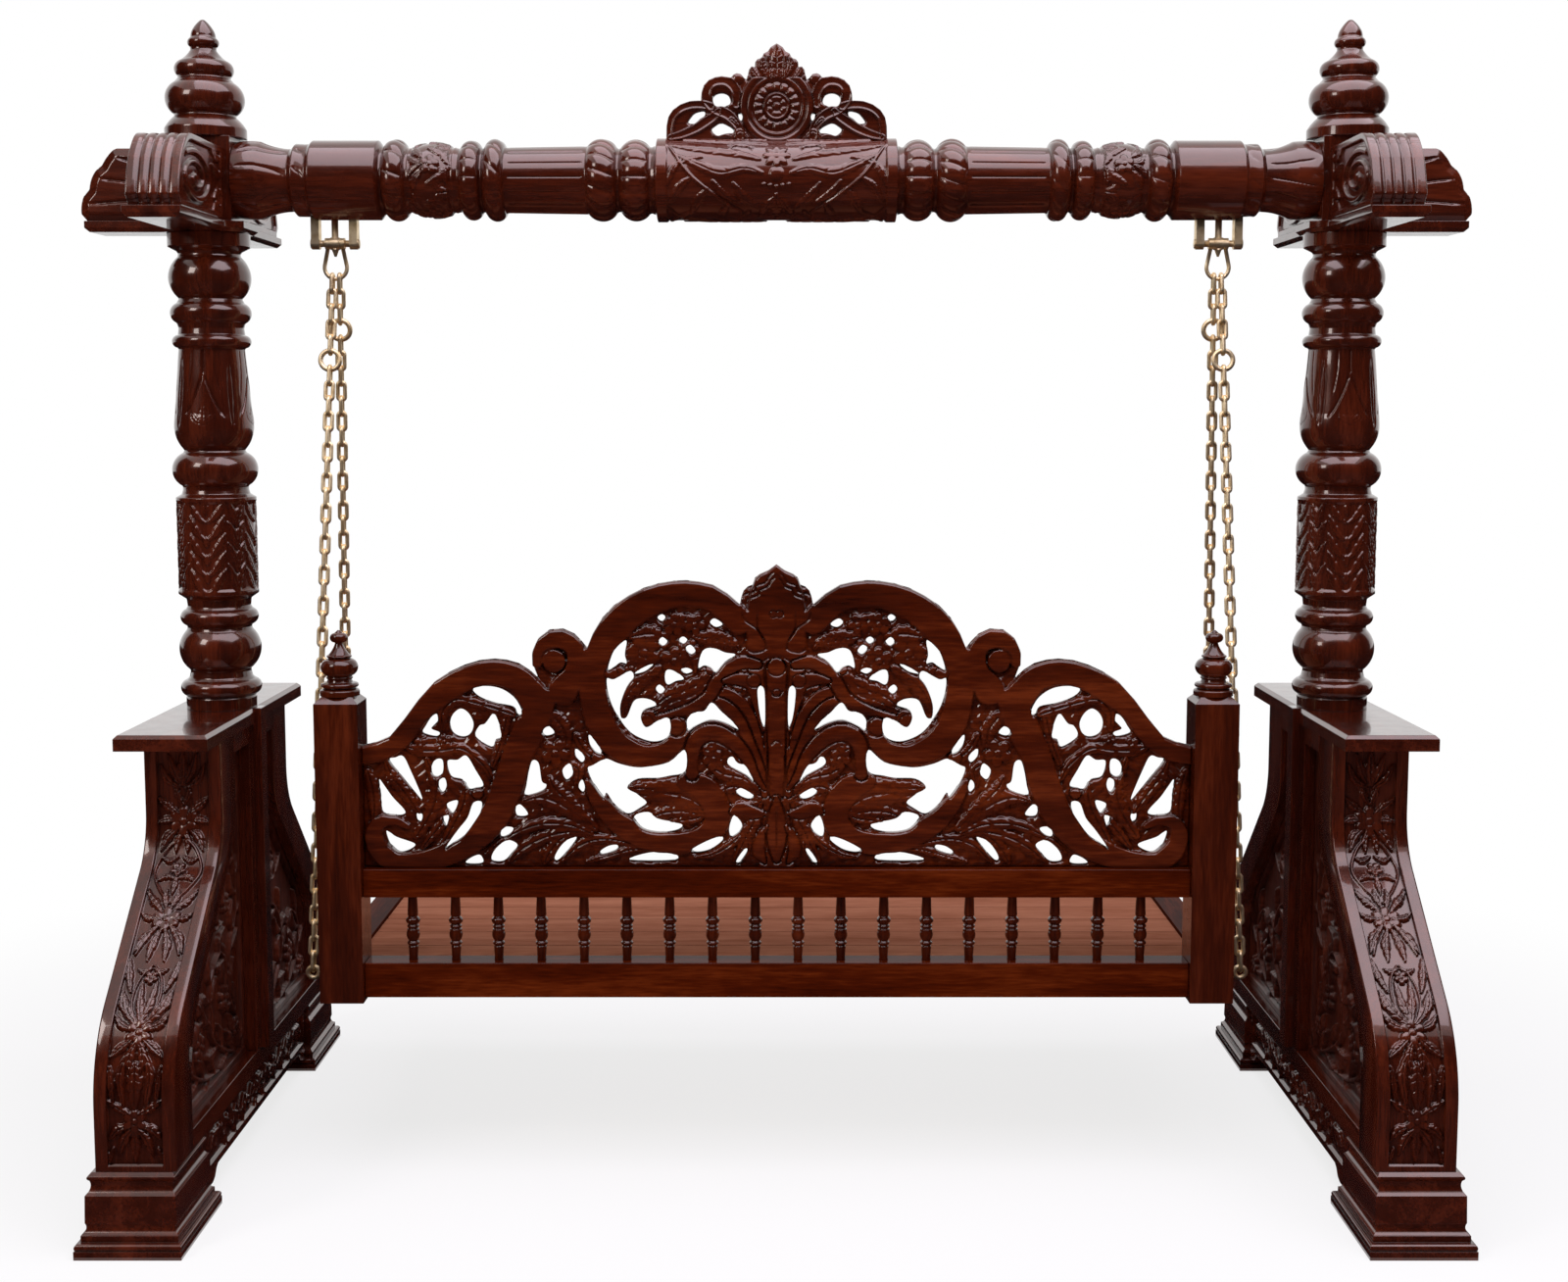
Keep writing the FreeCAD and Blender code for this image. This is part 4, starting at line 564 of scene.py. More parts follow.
back_flower_pixels = [
    (1150, 300, 40), (1060, 395, 34), (690, 640, 34), (250, 770, 26), (430, 640, 26), (1255, 330, 34),
    (1100, 345, 62), (1200, 372, 50), (1200, 250, 44), (1270, 250, 40), (800, 680, 52), (1430, 440, 44),
    (350, 655, 32), (1330, 700, 40),
]
back_ball_pixels = [
    (800, 372, 38), (1015, 412, 22), (1110, 560, 28), (1210, 590, 32), (945, 695, 22), (538, 815, 18),
    (1322, 400, 16),
]
middle_fit = (688, 1258, 1666, 1214, back_width, back_height)
middle_bands = [
    [(640, 965, 12), (622, 870, 22), (580, 760, 24), (535, 660, 26), (480, 600, 22), (425, 575, 10)],
    [(612, 440, 20), (555, 432, 26), (500, 455, 28), (452, 510, 28), (415, 570, 26), (350, 615, 24),
     (270, 640, 16), (200, 655, 12)],
    [(640, 940, 8), (600, 880, 18), (560, 800, 26), (500, 740, 32), (430, 712, 34), (368, 740, 34),
     (345, 810, 30), (348, 880, 26)],
    [(480, 505, 12), (540, 500, 26), (590, 520, 28), (610, 600, 18), (635, 700, 10)],
    [(688, 470, 44), (688, 560, 40), (688, 700, 36), (688, 850, 32), (688, 960, 28)],
]
middle_leaves = [
    [(688, 1225, 20), (688, 1130, 44), (688, 1040, 40), (688, 965, 6)],
    [(640, 1240, 8), (612, 1190, 30), (622, 1130, 22), (650, 1090, 6)],
    [(600, 1130, 10), (560, 1120, 34), (575, 1180, 18), (540, 1240, 6)],
    [(640, 1050, 8), (590, 1040, 34), (540, 1020, 40), (500, 1040, 10)],
    [(640, 990, 6), (580, 960, 26), (520, 930, 36), (455, 950, 8)],
    [(620, 960, 6), (560, 900, 30), (480, 880, 36), (420, 850, 12)],
    [(470, 870, 10), (430, 800, 40), (400, 780, 20)],
    [(200, 650, 10), (270, 590, 34), (360, 560, 44), (430, 490, 22), (480, 470, 4)],
    [(60, 670, 4), (80, 590, 26), (130, 520, 36), (215, 460, 20)],
    [(70, 400, 14), (130, 400, 52), (200, 430, 20)], [(110, 330, 20), (180, 320, 46), (240, 330, 16)],
    [(240, 290, 14), (300, 270, 40), (370, 260, 16)], [(300, 350, 14), (340, 420, 46), (360, 470, 12)],
    [(360, 330, 14), (430, 340, 44), (520, 360, 18)], [(240, 400, 14), (270, 440, 40), (320, 470, 12)],
    [(80, 945, 6), (150, 965, 34), (230, 960, 48), (320, 970, 50), (390, 1010, 20)],
    [(165, 1075, 6), (220, 1040, 24), (300, 1030, 34), (370, 1040, 16)],
    [(240, 1095, 6), (290, 1070, 20), (360, 1060, 24), (410, 1040, 10)],
    [(575, 380, 8), (610, 362, 26), (645, 378, 6)],
]
middle_grooves = [
    [(552, 215), (556, 168), (600, 152), (610, 128), (642, 116), (660, 90), (688, 66)],
    [(568, 222), (574, 184), (614, 166), (626, 144), (652, 132), (668, 108), (688, 88)],
    [(550, 218), (560, 262), (610, 300), (640, 345), (652, 400)], [(612, 235), (614, 300), (640, 345)],
    [(562, 372), (590, 392), (630, 388), (652, 372)], [(630, 432), (655, 416), (688, 412)],
    [(640, 438), (650, 560), (646, 700), (650, 860), (640, 965)], [(664, 764), (676, 752), (688, 744)],
    [(660, 984), (674, 966), (688, 960)], [(660, 540), (674, 562), (688, 568)],
    [(648, 985), (638, 1080), (655, 1190)],
    [(688, 1020), (688, 1180)],
]
middle_knobs = [
    (688, 450, 34), (688, 553, 15), (675, 240, 14), (598, 505, 26), (28, 480, 26), (160, 675, 34),
    (282, 690, 34),
]
middle_over = [
    [(688, 1225, 16), (688, 1140, 40), (688, 1050, 34), (688, 968, 6)],
    [(640, 1235, 10), (615, 1190, 26), (626, 1130, 18), (650, 1090, 6)],
    [(640, 1040, 10), (590, 1036, 26), (540, 1020, 28), (505, 1032, 10)],
]
band_round = 3.4 * mm
upper_round = 5.5 * mm
leaf_level = 9.0 * mm


def back_solid(u, v):
    """Distance to the carved back's edge, negative in the wood."""
    return outlined(back_outline_pixels, back_hole_pixels, back_fit, 0.0, u, v)


def back_carve(u, v, s):
    """How deep each point of the carved back lies under its face."""
    u = -np.abs(u)
    deep = np.clip(-s, 0, None)
    field = Relief(u, v)
    waves = np.sin(u / (5.2 * mm) + 2.2 * np.sin(v / (11 * mm)))
    waves = waves * np.sin(v / (6.1 * mm) + 1.7 * np.sin(u / (13 * mm)))
    rise = 3.2 * mm * np.sqrt(np.clip(deep / (8 * mm), 0, 1)) * np.clip(0.5 + waves, 0, 1)
    field.height = -leaf_level + rise
    lifted = Relief(u, v)
    for rows, fit in ((back_leaf_pixels, back_fit), (middle_leaves, middle_fit)):
        for leaf in rows:
            lifted.leaf(on_pixels(leaf, fit), leaf_level * 0.84, vein=3.4 * mm, lobes=6, drop=0.45)
    for x, y, r in back_flower_pixels:
        (cu, cv, cr), = on_pixels([(x, y, r)], back_fit)
        lifted.flower((cu, cv), cr, leaf_level * 0.85, petals=5, turn=0.3 + x)
    lifted.height = np.where(lifted.height > 0, lifted.height - leaf_level, -9.0)
    field.height = np.maximum(field.height, lifted.height)
    for line in back_band_pixels:
        field.band(on_pixels(line, back_fit), 0.0, edge=0.16)
    for line in middle_bands:
        field.strand(on_pixels(line, middle_fit), -0.5 * mm, -5.5 * mm)
    for leaf in middle_over:
        field.strand(on_pixels(leaf, middle_fit), -0.2 * mm, -5.0 * mm)
    for rows in middle_grooves:
        field.groove(on_pixels(rows, middle_fit), 2.6 * mm, 3.2 * mm)
    balls = [(*ball, back_fit) for ball in back_ball_pixels] + [(*knob, middle_fit) for knob in middle_knobs]
    for x, y, r, fit in balls:
        (cu, cv, cr), = on_pixels([(x, y, r)], fit)
        q = np.hypot(u - cu, v - cv) / cr
        ring = np.clip(1 - np.abs(q - 1.08) / 0.16, 0, 1) * 3.0 * mm
        dome = -2.0 * mm + 2.0 * mm * np.sqrt(np.clip(1 - q ** 2, 0, 1))
        field.height = np.where(q < 1, dome, field.height - ring)
    rounding = np.full(u.shape, band_round)
    near = np.nonzero(deep < band_round + upper_round)
    ahead = back_solid(u[near], v[near] + 2 * mm)
    rounding[near] += upper_round * np.clip((ahead - s[near]) / (2 * mm), 0, 1) ** 2
    return np.clip(-field.height, 0, None) + 0.8 * rounded_edge(deep, rounding)


def back_place(points):
    """The carved back's own points as places on the seat."""
    return points + np.array([0.0, (back_low.y + back_high.y) / 2, back_low.z])


carved_board(
    "back_carving", back_place, back_high.y - back_low.y, (-back_width, 0.0), (back_width, back_height),
    1.45 * mm, back_solid, back_carve, rim=fine_rim, body="swing", slot="seat_wood", look=seat_carved,
    replaces=("carved_back",),
)

# Turned pieces


def arc_points(start, end, bulge, step):
    """Points over a chord, whose bulge is the arc's height over half the chord."""
    start, end = np.array(start, dtype=float), np.array(end, dtype=float)
    chord = end - start
    run = np.hypot(*chord)
    if not bulge:
        count = max(1, int(run / step))
        return [start + chord * k / count for k in range(count)]
    side = np.array([-chord[1], chord[0]])
    centre = (start + end) / 2 + side * (1 - bulge * bulge) / (4 * bulge)
    arm = start - centre
    swing = 4 * math.atan(bulge)
    count = max(2, int(np.hypot(*arm) * abs(swing) / step))
    made = []
    for k in range(count):
        cos, sin = math.cos(swing * k / count), math.sin(swing * k / count)
        made.append(centre + np.array([arm[0] * cos - arm[1] * sin, arm[0] * sin + arm[1] * cos]))
    return made


def evened(line, step, soften):
    """The same line with its sharp corners eased and its points at even steps."""
    line = np.array(line)
    reach = max(1, int(soften / (0.4 * mm)))
    window = np.hanning(2 * reach + 3)[1:-1]
    window /= window.sum()
    ends = np.vstack([np.repeat(line[:1], reach, axis=0), line, np.repeat(line[-1:], reach, axis=0)])
    eased = np.column_stack([np.convolve(ends[:, k], window, mode="valid") for k in (0, 1)])
    run = np.concatenate([[0], np.cumsum(np.hypot(*np.diff(eased, axis=0).T))])
    places = np.linspace(0, run[-1], max(8, int(run[-1] / step)))
    return np.column_stack([np.interp(places, run, eased[:, 0]), np.interp(places, run, eased[:, 1])])


def arcs(rows):
    """Close points along rows of (u, v, bulge of the stretch that follows)."""
    line = []
    for (u0, v0, bulge), (u1, v1, _) in zip(rows, rows[1:]):
        line += arc_points((u0, v0), (u1, v1), bulge, 0.4 * mm)
    line.append(np.array(rows[-1][:2]))
    return line


def turned_line(shares, length, radius, step, soften=0.8 * mm):
    """A fine line of (radius, place) along a turned profile."""
    rows = [(radius * r, length * t, bulge[0] if bulge else 0) for t, r, *bulge in shares]
    return evened(arcs(rows), step, soften)


def lathe(name, line, around, place, relief, at=((0, 0, 0),), **kind):
    """A turned mesh with closed ends, at one or more places. relief(along, angle) adds to its radius."""
    angles = np.arange(around) / around * 2 * math.pi
    along, angle = np.meshgrid(line[:, 1], angles, indexing="ij")
    radius = np.repeat(line[:, 0][:, None], around, axis=1) + relief(along, angle)
    points = np.stack([along, radius * np.sin(angle), radius * np.cos(angle)], axis=-1).reshape(-1, 3)
    number = np.arange(len(points)).reshape(along.shape)
    following = np.roll(number, -1, axis=1)
    quads = np.stack([number[:-1], following[:-1], following[1:], number[1:]], axis=-1).reshape(-1, 4)
    ends = np.array([[line[0, 1], 0, 0], [line[-1, 1], 0, 0]])
    first, last = len(points), len(points) + 1
    caps = [np.column_stack([following[0], number[0], np.full(around, first)])]
    caps.append(np.column_stack([number[-1], following[-1], np.full(around, last)]))
    once = place(np.vstack([points, ends]))
    starts = [k * len(once) for k in range(len(at))]
    quads, caps = [np.vstack([rows + start for start in starts]) for rows in (quads, np.vstack(caps))]
    return piece(name, np.vstack([once + np.array(shift) for shift in at]), [quads, caps], **kind)


def folded(angle, radius, count, turn=0.0):
    """Arc lengths from the middle of the nearest of so many equal motifs round an axis."""
    period = 2 * math.pi / count
    return ((angle - turn + period / 2) % period - period / 2) * radius


def within(share, low, high, ease):
    """One between two shares, easing to zero just outside."""
    return np.clip((share - low) / ease, 0, 1) * np.clip((high - share) / ease, 0, 1)


def lobed(angle, count, depth, turn=0.0, power=2.0):
    """Depth of the valleys between rounded lobes round an axis."""
    q = np.abs(((angle - turn) * count / (2 * math.pi)) % 1 * 2 - 1)
    return depth * (1 - np.sqrt(1 - 0.98 * q ** power))


post_shares = [
    (0.000, 0.83), (0.024, 0.83), (0.028, 0.80, 0.79), (0.062, 0.80), (0.068, 0.74), (0.080, 0.71),
    (0.084, 0.72, 0.44), (0.168, 0.78), (0.175, 0.75), (0.179, 0.78, 0.70), (0.213, 0.78), (0.220, 0.74),
    (0.235, 0.76), (0.246, 0.94), (0.450, 0.94), (0.457, 0.80), (0.466, 0.77), (0.474, 0.77, 0.62),
    (0.544, 0.74), (0.549, 0.71), (0.552, 0.73, 0.18), (0.600, 0.93, 0.05), (0.625, 0.90), (0.760, 0.77),
    (0.763, 0.79, 0.88), (0.790, 0.78), (0.804, 0.76), (0.815, 0.80, 0.65), (0.856, 0.79), (0.864, 0.74),
    (0.867, 0.75, 0.45), (0.951, 0.74), (0.957, 0.72), (0.963, 0.76), (0.972, 0.96), (1.000, 0.96),
]
finial_shares = [
    (0.000, 0.95), (0.082, 0.95, 0.10), (0.183, 0.72), (0.193, 0.71), (0.204, 0.72, 0.56), (0.471, 0.70),
    (0.505, 0.61), (0.524, 0.61), (0.526, 0.62, 0.55), (0.654, 0.55, -0.12), (0.745, 0.30), (0.766, 0.30),
    (0.771, 0.31, 0.55), (0.844, 0.31), (0.854, 0.29, 0.10), (0.904, 0.26, 0.10), (0.995, 0.06),
    (1.000, 0.03),
]
seat_finial_shares = [
    (0.000, 1.00), (0.070, 1.00, 0.25), (0.095, 0.92), (0.118, 0.80), (0.125, 0.86, 0.75), (0.195, 0.86),
    (0.205, 0.66), (0.250, 0.60), (0.258, 0.64, 0.60), (0.290, 0.64), (0.300, 0.62, 0.10),
    (0.340, 0.82, 0.46), (0.545, 0.74), (0.575, 0.54), (0.590, 0.62, 0.60), (0.615, 0.60),
    (0.625, 0.54, -0.12), (0.800, 0.19), (0.812, 0.22, 0.95), (0.955, 0.22), (0.985, 0.10), (1.000, 0.05),
]
seat_spindle_shares = [
    (0.000, 0.74), (0.040, 0.70), (0.205, 0.80), (0.222, 0.66), (0.232, 0.80, 0.65), (0.285, 0.80),
    (0.300, 0.70), (0.312, 0.82, 0.25), (0.440, 0.96), (0.470, 0.98), (0.485, 0.76), (0.500, 0.86, 0.60),
    (0.535, 0.86), (0.550, 0.74), (0.562, 0.88, 0.55), (0.650, 0.88), (0.668, 0.70), (0.690, 0.84),
    (0.840, 0.78), (1.000, 0.70),
]
beam_shares = [
    (0.000, 1.00), (0.221, 1.00), (0.224, 0.83), (0.232, 0.79), (0.235, 0.80, 0.55), (0.289, 0.77),
    (0.293, 0.75), (0.296, 0.78, 0.55), (0.350, 0.82), (0.353, 0.81), (0.498, 0.78), (0.502, 0.79, 0.80),
    (0.540, 0.79), (0.544, 0.76), (0.547, 0.79, 0.73), (0.584, 0.77), (0.588, 0.76), (0.592, 0.77, 0.28),
    (0.680, 0.76), (0.684, 0.79, 0.70), (0.726, 0.80), (0.730, 0.82), (0.737, 0.95), (0.858, 0.95),
    (0.864, 0.87), (0.890, 0.87), (0.898, 0.75, -0.12), (0.955, 0.92, 0.08), (1.000, 0.91),
]
post_low, post_high = box_of("post_right")
post_x = (post_low.x + post_high.x) / 2
cap_top = box_of("stand_cap_right")[1].z
plate_z = box_of("capital_plate_right")[0].z
block_low, block_high = box_of("capital_block_right")
beam_low, beam_high = box_of("beam")
beam_z = (beam_low.z + beam_high.z) / 2
beam_radius = (beam_high.z - beam_low.z) / 2
post_radius = 75 * mm
post_height = plate_z - cap_top
beam_half = block_low.x
drum_carving = 3.6 * mm

post_drum_leaves = [
    [(1, -84, 2), (12, -76, 6), (24, -58, 8), (34, -40, 2)],
    [(1, -52, 2), (12, -44, 6), (24, -28, 8), (34, -8, 2)],
    [(1, -20, 2), (12, -12, 6), (24, 4, 8), (34, 24, 2)],
    [(1, 12, 2), (12, 20, 6), (24, 36, 8), (33, 56, 2)],
    [(1, 44, 2), (11, 50, 5), (22, 62, 7), (32, 80, 2)], [(0, 58, 3), (0, 70, 7), (0, 84, 1)],
    [(55, -84, 3), (53, -68, 9), (47, -48, 7), (38, -30, 1)],
    [(55, -44, 3), (53, -28, 9), (47, -8, 7), (38, 8, 1)],
    [(55, -4, 3), (53, 12, 9), (47, 32, 7), (38, 46, 1)],
    [(55, 36, 3), (53, 52, 9), (47, 68, 6), (40, 82, 1)],
    [(0, -64, 2), (2, -56, 5), (0, -46, 1)], [(0, -32, 2), (2, -24, 5), (0, -14, 1)],
    [(0, 0, 2), (2, 8, 5), (0, 18, 1)],
]
beam_drum_leaves = [
    [(30, 32, 4), (70, 45, 10), (115, 54, 12), (158, 60, 8), (188, 66, 2)],
    [(26, 6, 4), (58, 14, 10), (98, 6, 13), (136, 20, 10), (176, 42, 3)],
    [(150, -2, 3), (170, -20, 9), (187, -48, 3)], [(122, -22, 3), (140, -48, 10), (152, -82, 2)],
    [(84, -50, 3), (96, -78, 9), (102, -108, 2)], [(168, 30, 3), (182, 10, 7), (192, -18, 2)],
    [(76, -12, 3), (60, -36, 10), (30, -62, 4)], [(112, -8, 3), (96, -30, 8), (68, -48, 3)],
    [(18, 74, 3), (58, 84, 10), (108, 90, 11), (164, 96, 4)], [(0, -34, 6), (0, -60, 14), (0, -86, 4)],
    [(6, -40, 3), (20, -60, 9), (30, -90, 2)], [(48, -70, 4), (60, -92, 9), (64, -114, 3)],
    [(150, -70, 3), (170, -88, 9), (188, -110, 3)], [(20, 98, 4), (70, 110, 9), (120, 114, 5)],
    [(130, 36, 2), (150, 34, 6), (166, 24, 2)], [(40, 62, 2), (60, 66, 6), (84, 70, 2)],
]
beam_drum_stems = [
    [(193, 68, 2.2), (157, 8, 2.6), (106, -36, 2.6), (60, -72, 2.2)],
    [(44, 56, 1.8), (56, 68, 2.2), (74, 66, 2.2), (82, 54, 2.2), (70, 44, 1.8)],
    [(192, -60, 2), (160, -96, 2.4), (120, -114, 2)],
]
beam_lobes = [
    (0.236, 0.288, 14, 4.2, 0.0), (0.297, 0.349, 14, 4.2, 0.25), (0.503, 0.539, 9, 3.0, 0.5),
    (0.548, 0.583, 13, 3.2, 0.0), (0.685, 0.725, 10, 4.4, 0.2), (0.866, 0.889, 9, 2.6, 0.3),
]


def in_mm(rows):
    """Rows in millimetres as metres."""
    return np.array(rows, dtype=float) * mm


def post_relief(along, angle):
    """Carving of the post: rising leaves on its drum, long petals on its vase."""
    share = along / post_height
    depth = 0.25 * mm * np.sin(3 * angle + 40 * share) * np.sin(37 * share)
    drum = np.nonzero((share > 0.253) & (share < 0.443))
    middle = 0.348 * post_height
    field = Relief(np.abs(folded(angle[drum], 70.5 * mm, 4)), along[drum] - middle)
    for leaf in post_drum_leaves:
        field.leaf(in_mm(leaf), drum_carving, vein=1.5 * mm, lobes=3, drop=0.65)
    rim = within(share[drum], 0.253, 0.443, 0.006)
    depth[drum] -= (drum_carving - field.height) * rim
    vase = np.nonzero((share > 0.553) & (share < 0.762))
    field = Relief(np.abs(folded(angle[vase], 66 * mm, 4)), along[vase] - 0.656 * post_height)
    field.groove(in_mm([(0, 92), (0, 64), (0.2, 43)]), 3.2 * mm, 2.6 * mm)
    field.groove(in_mm([(0.2, 46), (12, 16), (24, -10), (36, -30)]), 3.4 * mm, 3.0 * mm)
    field.groove(in_mm([(50, 70), (47, 20), (49, -30), (51, -48)]), 2.6 * mm, 2.0 * mm)
    field.groove(in_mm([(24, 92), (25, 50), (32, 8)]), 2.4 * mm, 1.2 * mm)
    leaves = Relief(field.u, field.v)
    for leaf in ([(0, -42, 4), (0, -26, 8), (0, -6, 1)], [(3, -40, 4), (13, -33, 7), (20, -22, 1)]):
        leaves.leaf(in_mm(leaf), 1.8 * mm, vein=0.8 * mm)
    depth[vase] += np.where(leaves.height > 0, leaves.height - 1.4 * mm, np.maximum(field.height, -3.4 * mm))
    return depth


def upright(x, z):
    """Turned points set upright at a place."""
    return lambda points: np.column_stack([points[:, 1] + x, -points[:, 2], points[:, 0] + z])


def plain(along, angle):
    """Hardly any relief: what a hand sander leaves."""
    return 0.2 * mm * np.sin(3 * angle + 90 * along) * np.sin(70 * along)


for side_name, side in sides:
    line = turned_line(post_shares, post_height, post_radius, 1.5 * mm)
    lathe(
        f"turned_post_{side_name}", line, 300, upright(side * post_x, cap_top), post_relief, body="stand",
        slot="stand_wood", look=stand_along_z, replaces=(f"post_{side_name}",),
    )
    finial_height = box_of("capital_finial_right")[1].z - block_high.z
    line = turned_line(finial_shares, finial_height, post_radius, 1.8 * mm)
    lathe(
        f"turned_finial_{side_name}", line, 128, upright(side * post_x, block_high.z), plain, body="stand",
        slot="stand_wood", look=stand_along_z, replaces=(f"capital_finial_{side_name}",),
    )


finial_low, finial_high = box_of("back_finials")
finial_radius = 34 * mm
finial_foot = box_of("back_post_right")[1].z
line = turned_line(seat_finial_shares, finial_high.z - finial_foot, finial_radius, 0.9 * mm, 0.5 * mm)
lathe(
    "turned_seat_finials", line, 96, upright(0.0, finial_foot), plain,
    [(side * (finial_high.x - finial_radius), (finial_low.y + finial_high.y) / 2, 0.0) for _, side in sides],
    body="swing", slot="seat_wood", look=seat_along_z, replaces=("back_finials",),
)
spindle_low, spindle_high = box_of("spindles")
spindle_radius = (spindle_high.y - spindle_low.y) / 2
spindle_count = 18
line = turned_line(seat_spindle_shares, spindle_high.z - spindle_low.z, 11 * mm, 0.9 * mm, 0.5 * mm)
lathe(
    "turned_spindles", line, 40, upright(0.0, spindle_low.z), plain,
    [
        (x, (spindle_low.y + spindle_high.y) / 2, 0.0)
        for x in np.linspace(spindle_low.x + spindle_radius, spindle_high.x - spindle_radius, spindle_count)
    ],
    body="swing", slot="seat_wood", look=seat_along_z, replaces=("spindles",),
)


def beam_relief(along, angle):
    """Carving of the beam, by its stretches from the middle outwards."""
    share = np.abs(along) / beam_half
    depth = np.zeros(along.shape)
    for low, high, count, sunk, slant in beam_lobes:
        twist = slant * (share - low) / (high - low) * np.sign(along)
        depth -= within(share, low, high, 0.007) * lobed(angle + twist, count, sunk * mm)
    depth -= within(share, 0.356, 0.495, 0.004) * lobed(angle, 14, 3.0 * mm, power=7.0)
    wave = 0.30 * np.sin(16 * (share - 0.9) + 2 * angle) * np.sign(along)
    depth -= within(share, 0.902, 0.992, 0.012) * lobed(angle + wave, 9, 3.4 * mm, power=5.0)
    drum = np.nonzero(share < 0.204)
    field = Relief(np.abs(along[drum]), folded(angle[drum], beam_radius, 2))
    for leaf in beam_drum_leaves:
        field.leaf(in_mm(leaf), drum_carving, vein=1.7 * mm, lobes=5, drop=0.7)
    for stem in beam_drum_stems:
        field.band(in_mm(stem), drum_carving, edge=0.7)
    field.flower(in_mm((0, 40)), 25 * mm, drum_carving, petals=8, heart=0.3)
    field.dome(in_mm((0, 4)), 13 * mm, drum_carving)
    for k in range(-2, 3):
        field.dome(in_mm((k * 11, -19 + abs(k) * 2)), 4 * mm, drum_carving * 0.8)
    depth[drum] -= (drum_carving - field.height) * within(share[drum], -1, 0.203, 0.004)
    floral = np.nonzero((share > 0.594) & (share < 0.678))
    out = np.abs(along[floral]) - 0.636 * beam_half
    field = Relief(out, folded(angle[floral], 62 * mm, 4, 0.35))
    field.flower((0.0, 0.0), 19 * mm, 3.6 * mm, petals=5, turn=0.4)
    for up in (1, -1):
        for leaf in (
            [(-30, 12 * up, 3), (-16, 26 * up, 9), (4, 34 * up, 3)],
            [(14, 14 * up, 3), (26, 28 * up, 9), (30, 44 * up, 2)],
            [(-34, -2 * up, 3), (-26, -16 * up, 8), (-30, -34 * up, 2)],
            [(18, 2 * up, 3), (30, 8 * up, 7), (38, 22 * up, 2)],
            [(-8, 24 * up, 3), (-14, 40 * up, 7), (-30, 46 * up, 2)],
        ):
            field.leaf(in_mm(leaf), 3.4 * mm, vein=1.3 * mm, lobes=3, drop=0.65)
    depth[floral] -= (3.6 * mm - field.height) * within(share[floral], 0.594, 0.678, 0.005)
    return depth


left = [
    (-t, r, before[2] if len(before) > 2 else 0)
    for (t, r, *_), before in zip(beam_shares[:0:-1], beam_shares[-2::-1])
]
beam_line = turned_line(left + beam_shares, beam_half, beam_radius, 1.6 * mm)
lathe(
    "turned_beam", beam_line, 340,
    lambda points: np.column_stack([points[:, 0], -points[:, 2], points[:, 1] + beam_z]), beam_relief,
    body="stand", slot="stand_wood", look=stand_along_x, replaces=("beam",),
)

# Crest on the beam, read off an enlarged front view in pixels

crest_low, crest_high = box_of("beam_crest")
crest_base = beam_z + beam_radius - 3.5 * mm
crest_fit = (790, 572, 575, 492, crest_high.x, crest_high.z - crest_base)
crest_outline_pixels = [
    (215, 572), (217, 500), (226, 455), (250, 420), (290, 392), (340, 374), (395, 371), (400, 330),
    (412, 295), (438, 268), (470, 254), (505, 249), (550, 256), (562, 240), (582, 233), (604, 238),
    (620, 256), (634, 262), (640, 240), (645, 212), (658, 200), (676, 200), (678, 175), (690, 160),
    (712, 154), (722, 132), (745, 120), (758, 100), (790, 80),
]
crest_hole_pixels = [
    [(458, 372), (468, 345), (500, 332), (534, 342), (548, 368), (545, 392), (510, 400), (475, 400)],
    [(330, 482), (345, 455), (370, 432), (410, 424), (415, 445), (390, 462), (360, 486)],
    [(452, 520), (470, 500), (500, 485), (535, 498), (560, 515), (562, 535), (520, 540), (480, 550)],
    [(590, 440), (604, 436), (612, 452), (608, 470), (598, 466)],
]
crest_band_pixels = [
    [(232, 575, 20), (234, 505, 20), (250, 452, 22), (290, 414, 24), (345, 396, 24), (400, 395, 24),
     (450, 405, 22)],
    [(240, 560, 16), (300, 545, 22), (370, 515, 26), (425, 480, 28), (470, 450, 24), (490, 425, 16)],
    [(600, 560, 26), (590, 505, 26), (540, 450, 30), (470, 415, 32), (430, 370, 32), (428, 315, 32),
     (462, 278, 32), (520, 272, 32), (562, 300, 30), (584, 350, 26), (580, 395, 22)],
]
crest_ball_pixels = [(590, 262, 34), (552, 402, 28)]
crest_leaf_pixels = [
    [(790, 245, 26), (792, 170, 44), (790, 92, 6)], [(742, 250, 14), (722, 205, 26), (716, 160, 12)],
    [(700, 262, 14), (672, 230, 24), (662, 205, 10)], [(690, 280, 10), (655, 268, 18), (642, 250, 8)],
    [(750, 262, 10), (752, 232, 20), (744, 150, 10)], [(770, 272, 10), (775, 255, 18), (768, 225, 8)],
    [(470, 548, 14), (520, 540, 30), (560, 552, 16)], [(560, 560, 16), (600, 530, 28), (640, 560, 12)],
    [(540, 470, 8), (560, 470, 26), (590, 500, 10)],
]
medallion_rings = np.array([
    (0, -1.2), (5, -2.2), (7, -4.8), (9, -4.6), (18, -4.6), (20, -2.6), (22.5, -2.6), (24, -7.0),
    (27, -6.2), (40, -6.6), (44, -5.6), (46, -2.6), (50, -2.4), (52, -4.2), (55, -1.0), (58, 0),
    (63, -0.6), (67, -5.5),
])
medallion_height = 58.5 * mm
medallion_radius = 66.5 * mm
crown_foot = 108 * mm


def crest_solid(u, v):
    """Distance to the crest's edge, negative in the wood."""
    return outlined(crest_outline_pixels, crest_hole_pixels, crest_fit, -3 * mm, u, v)


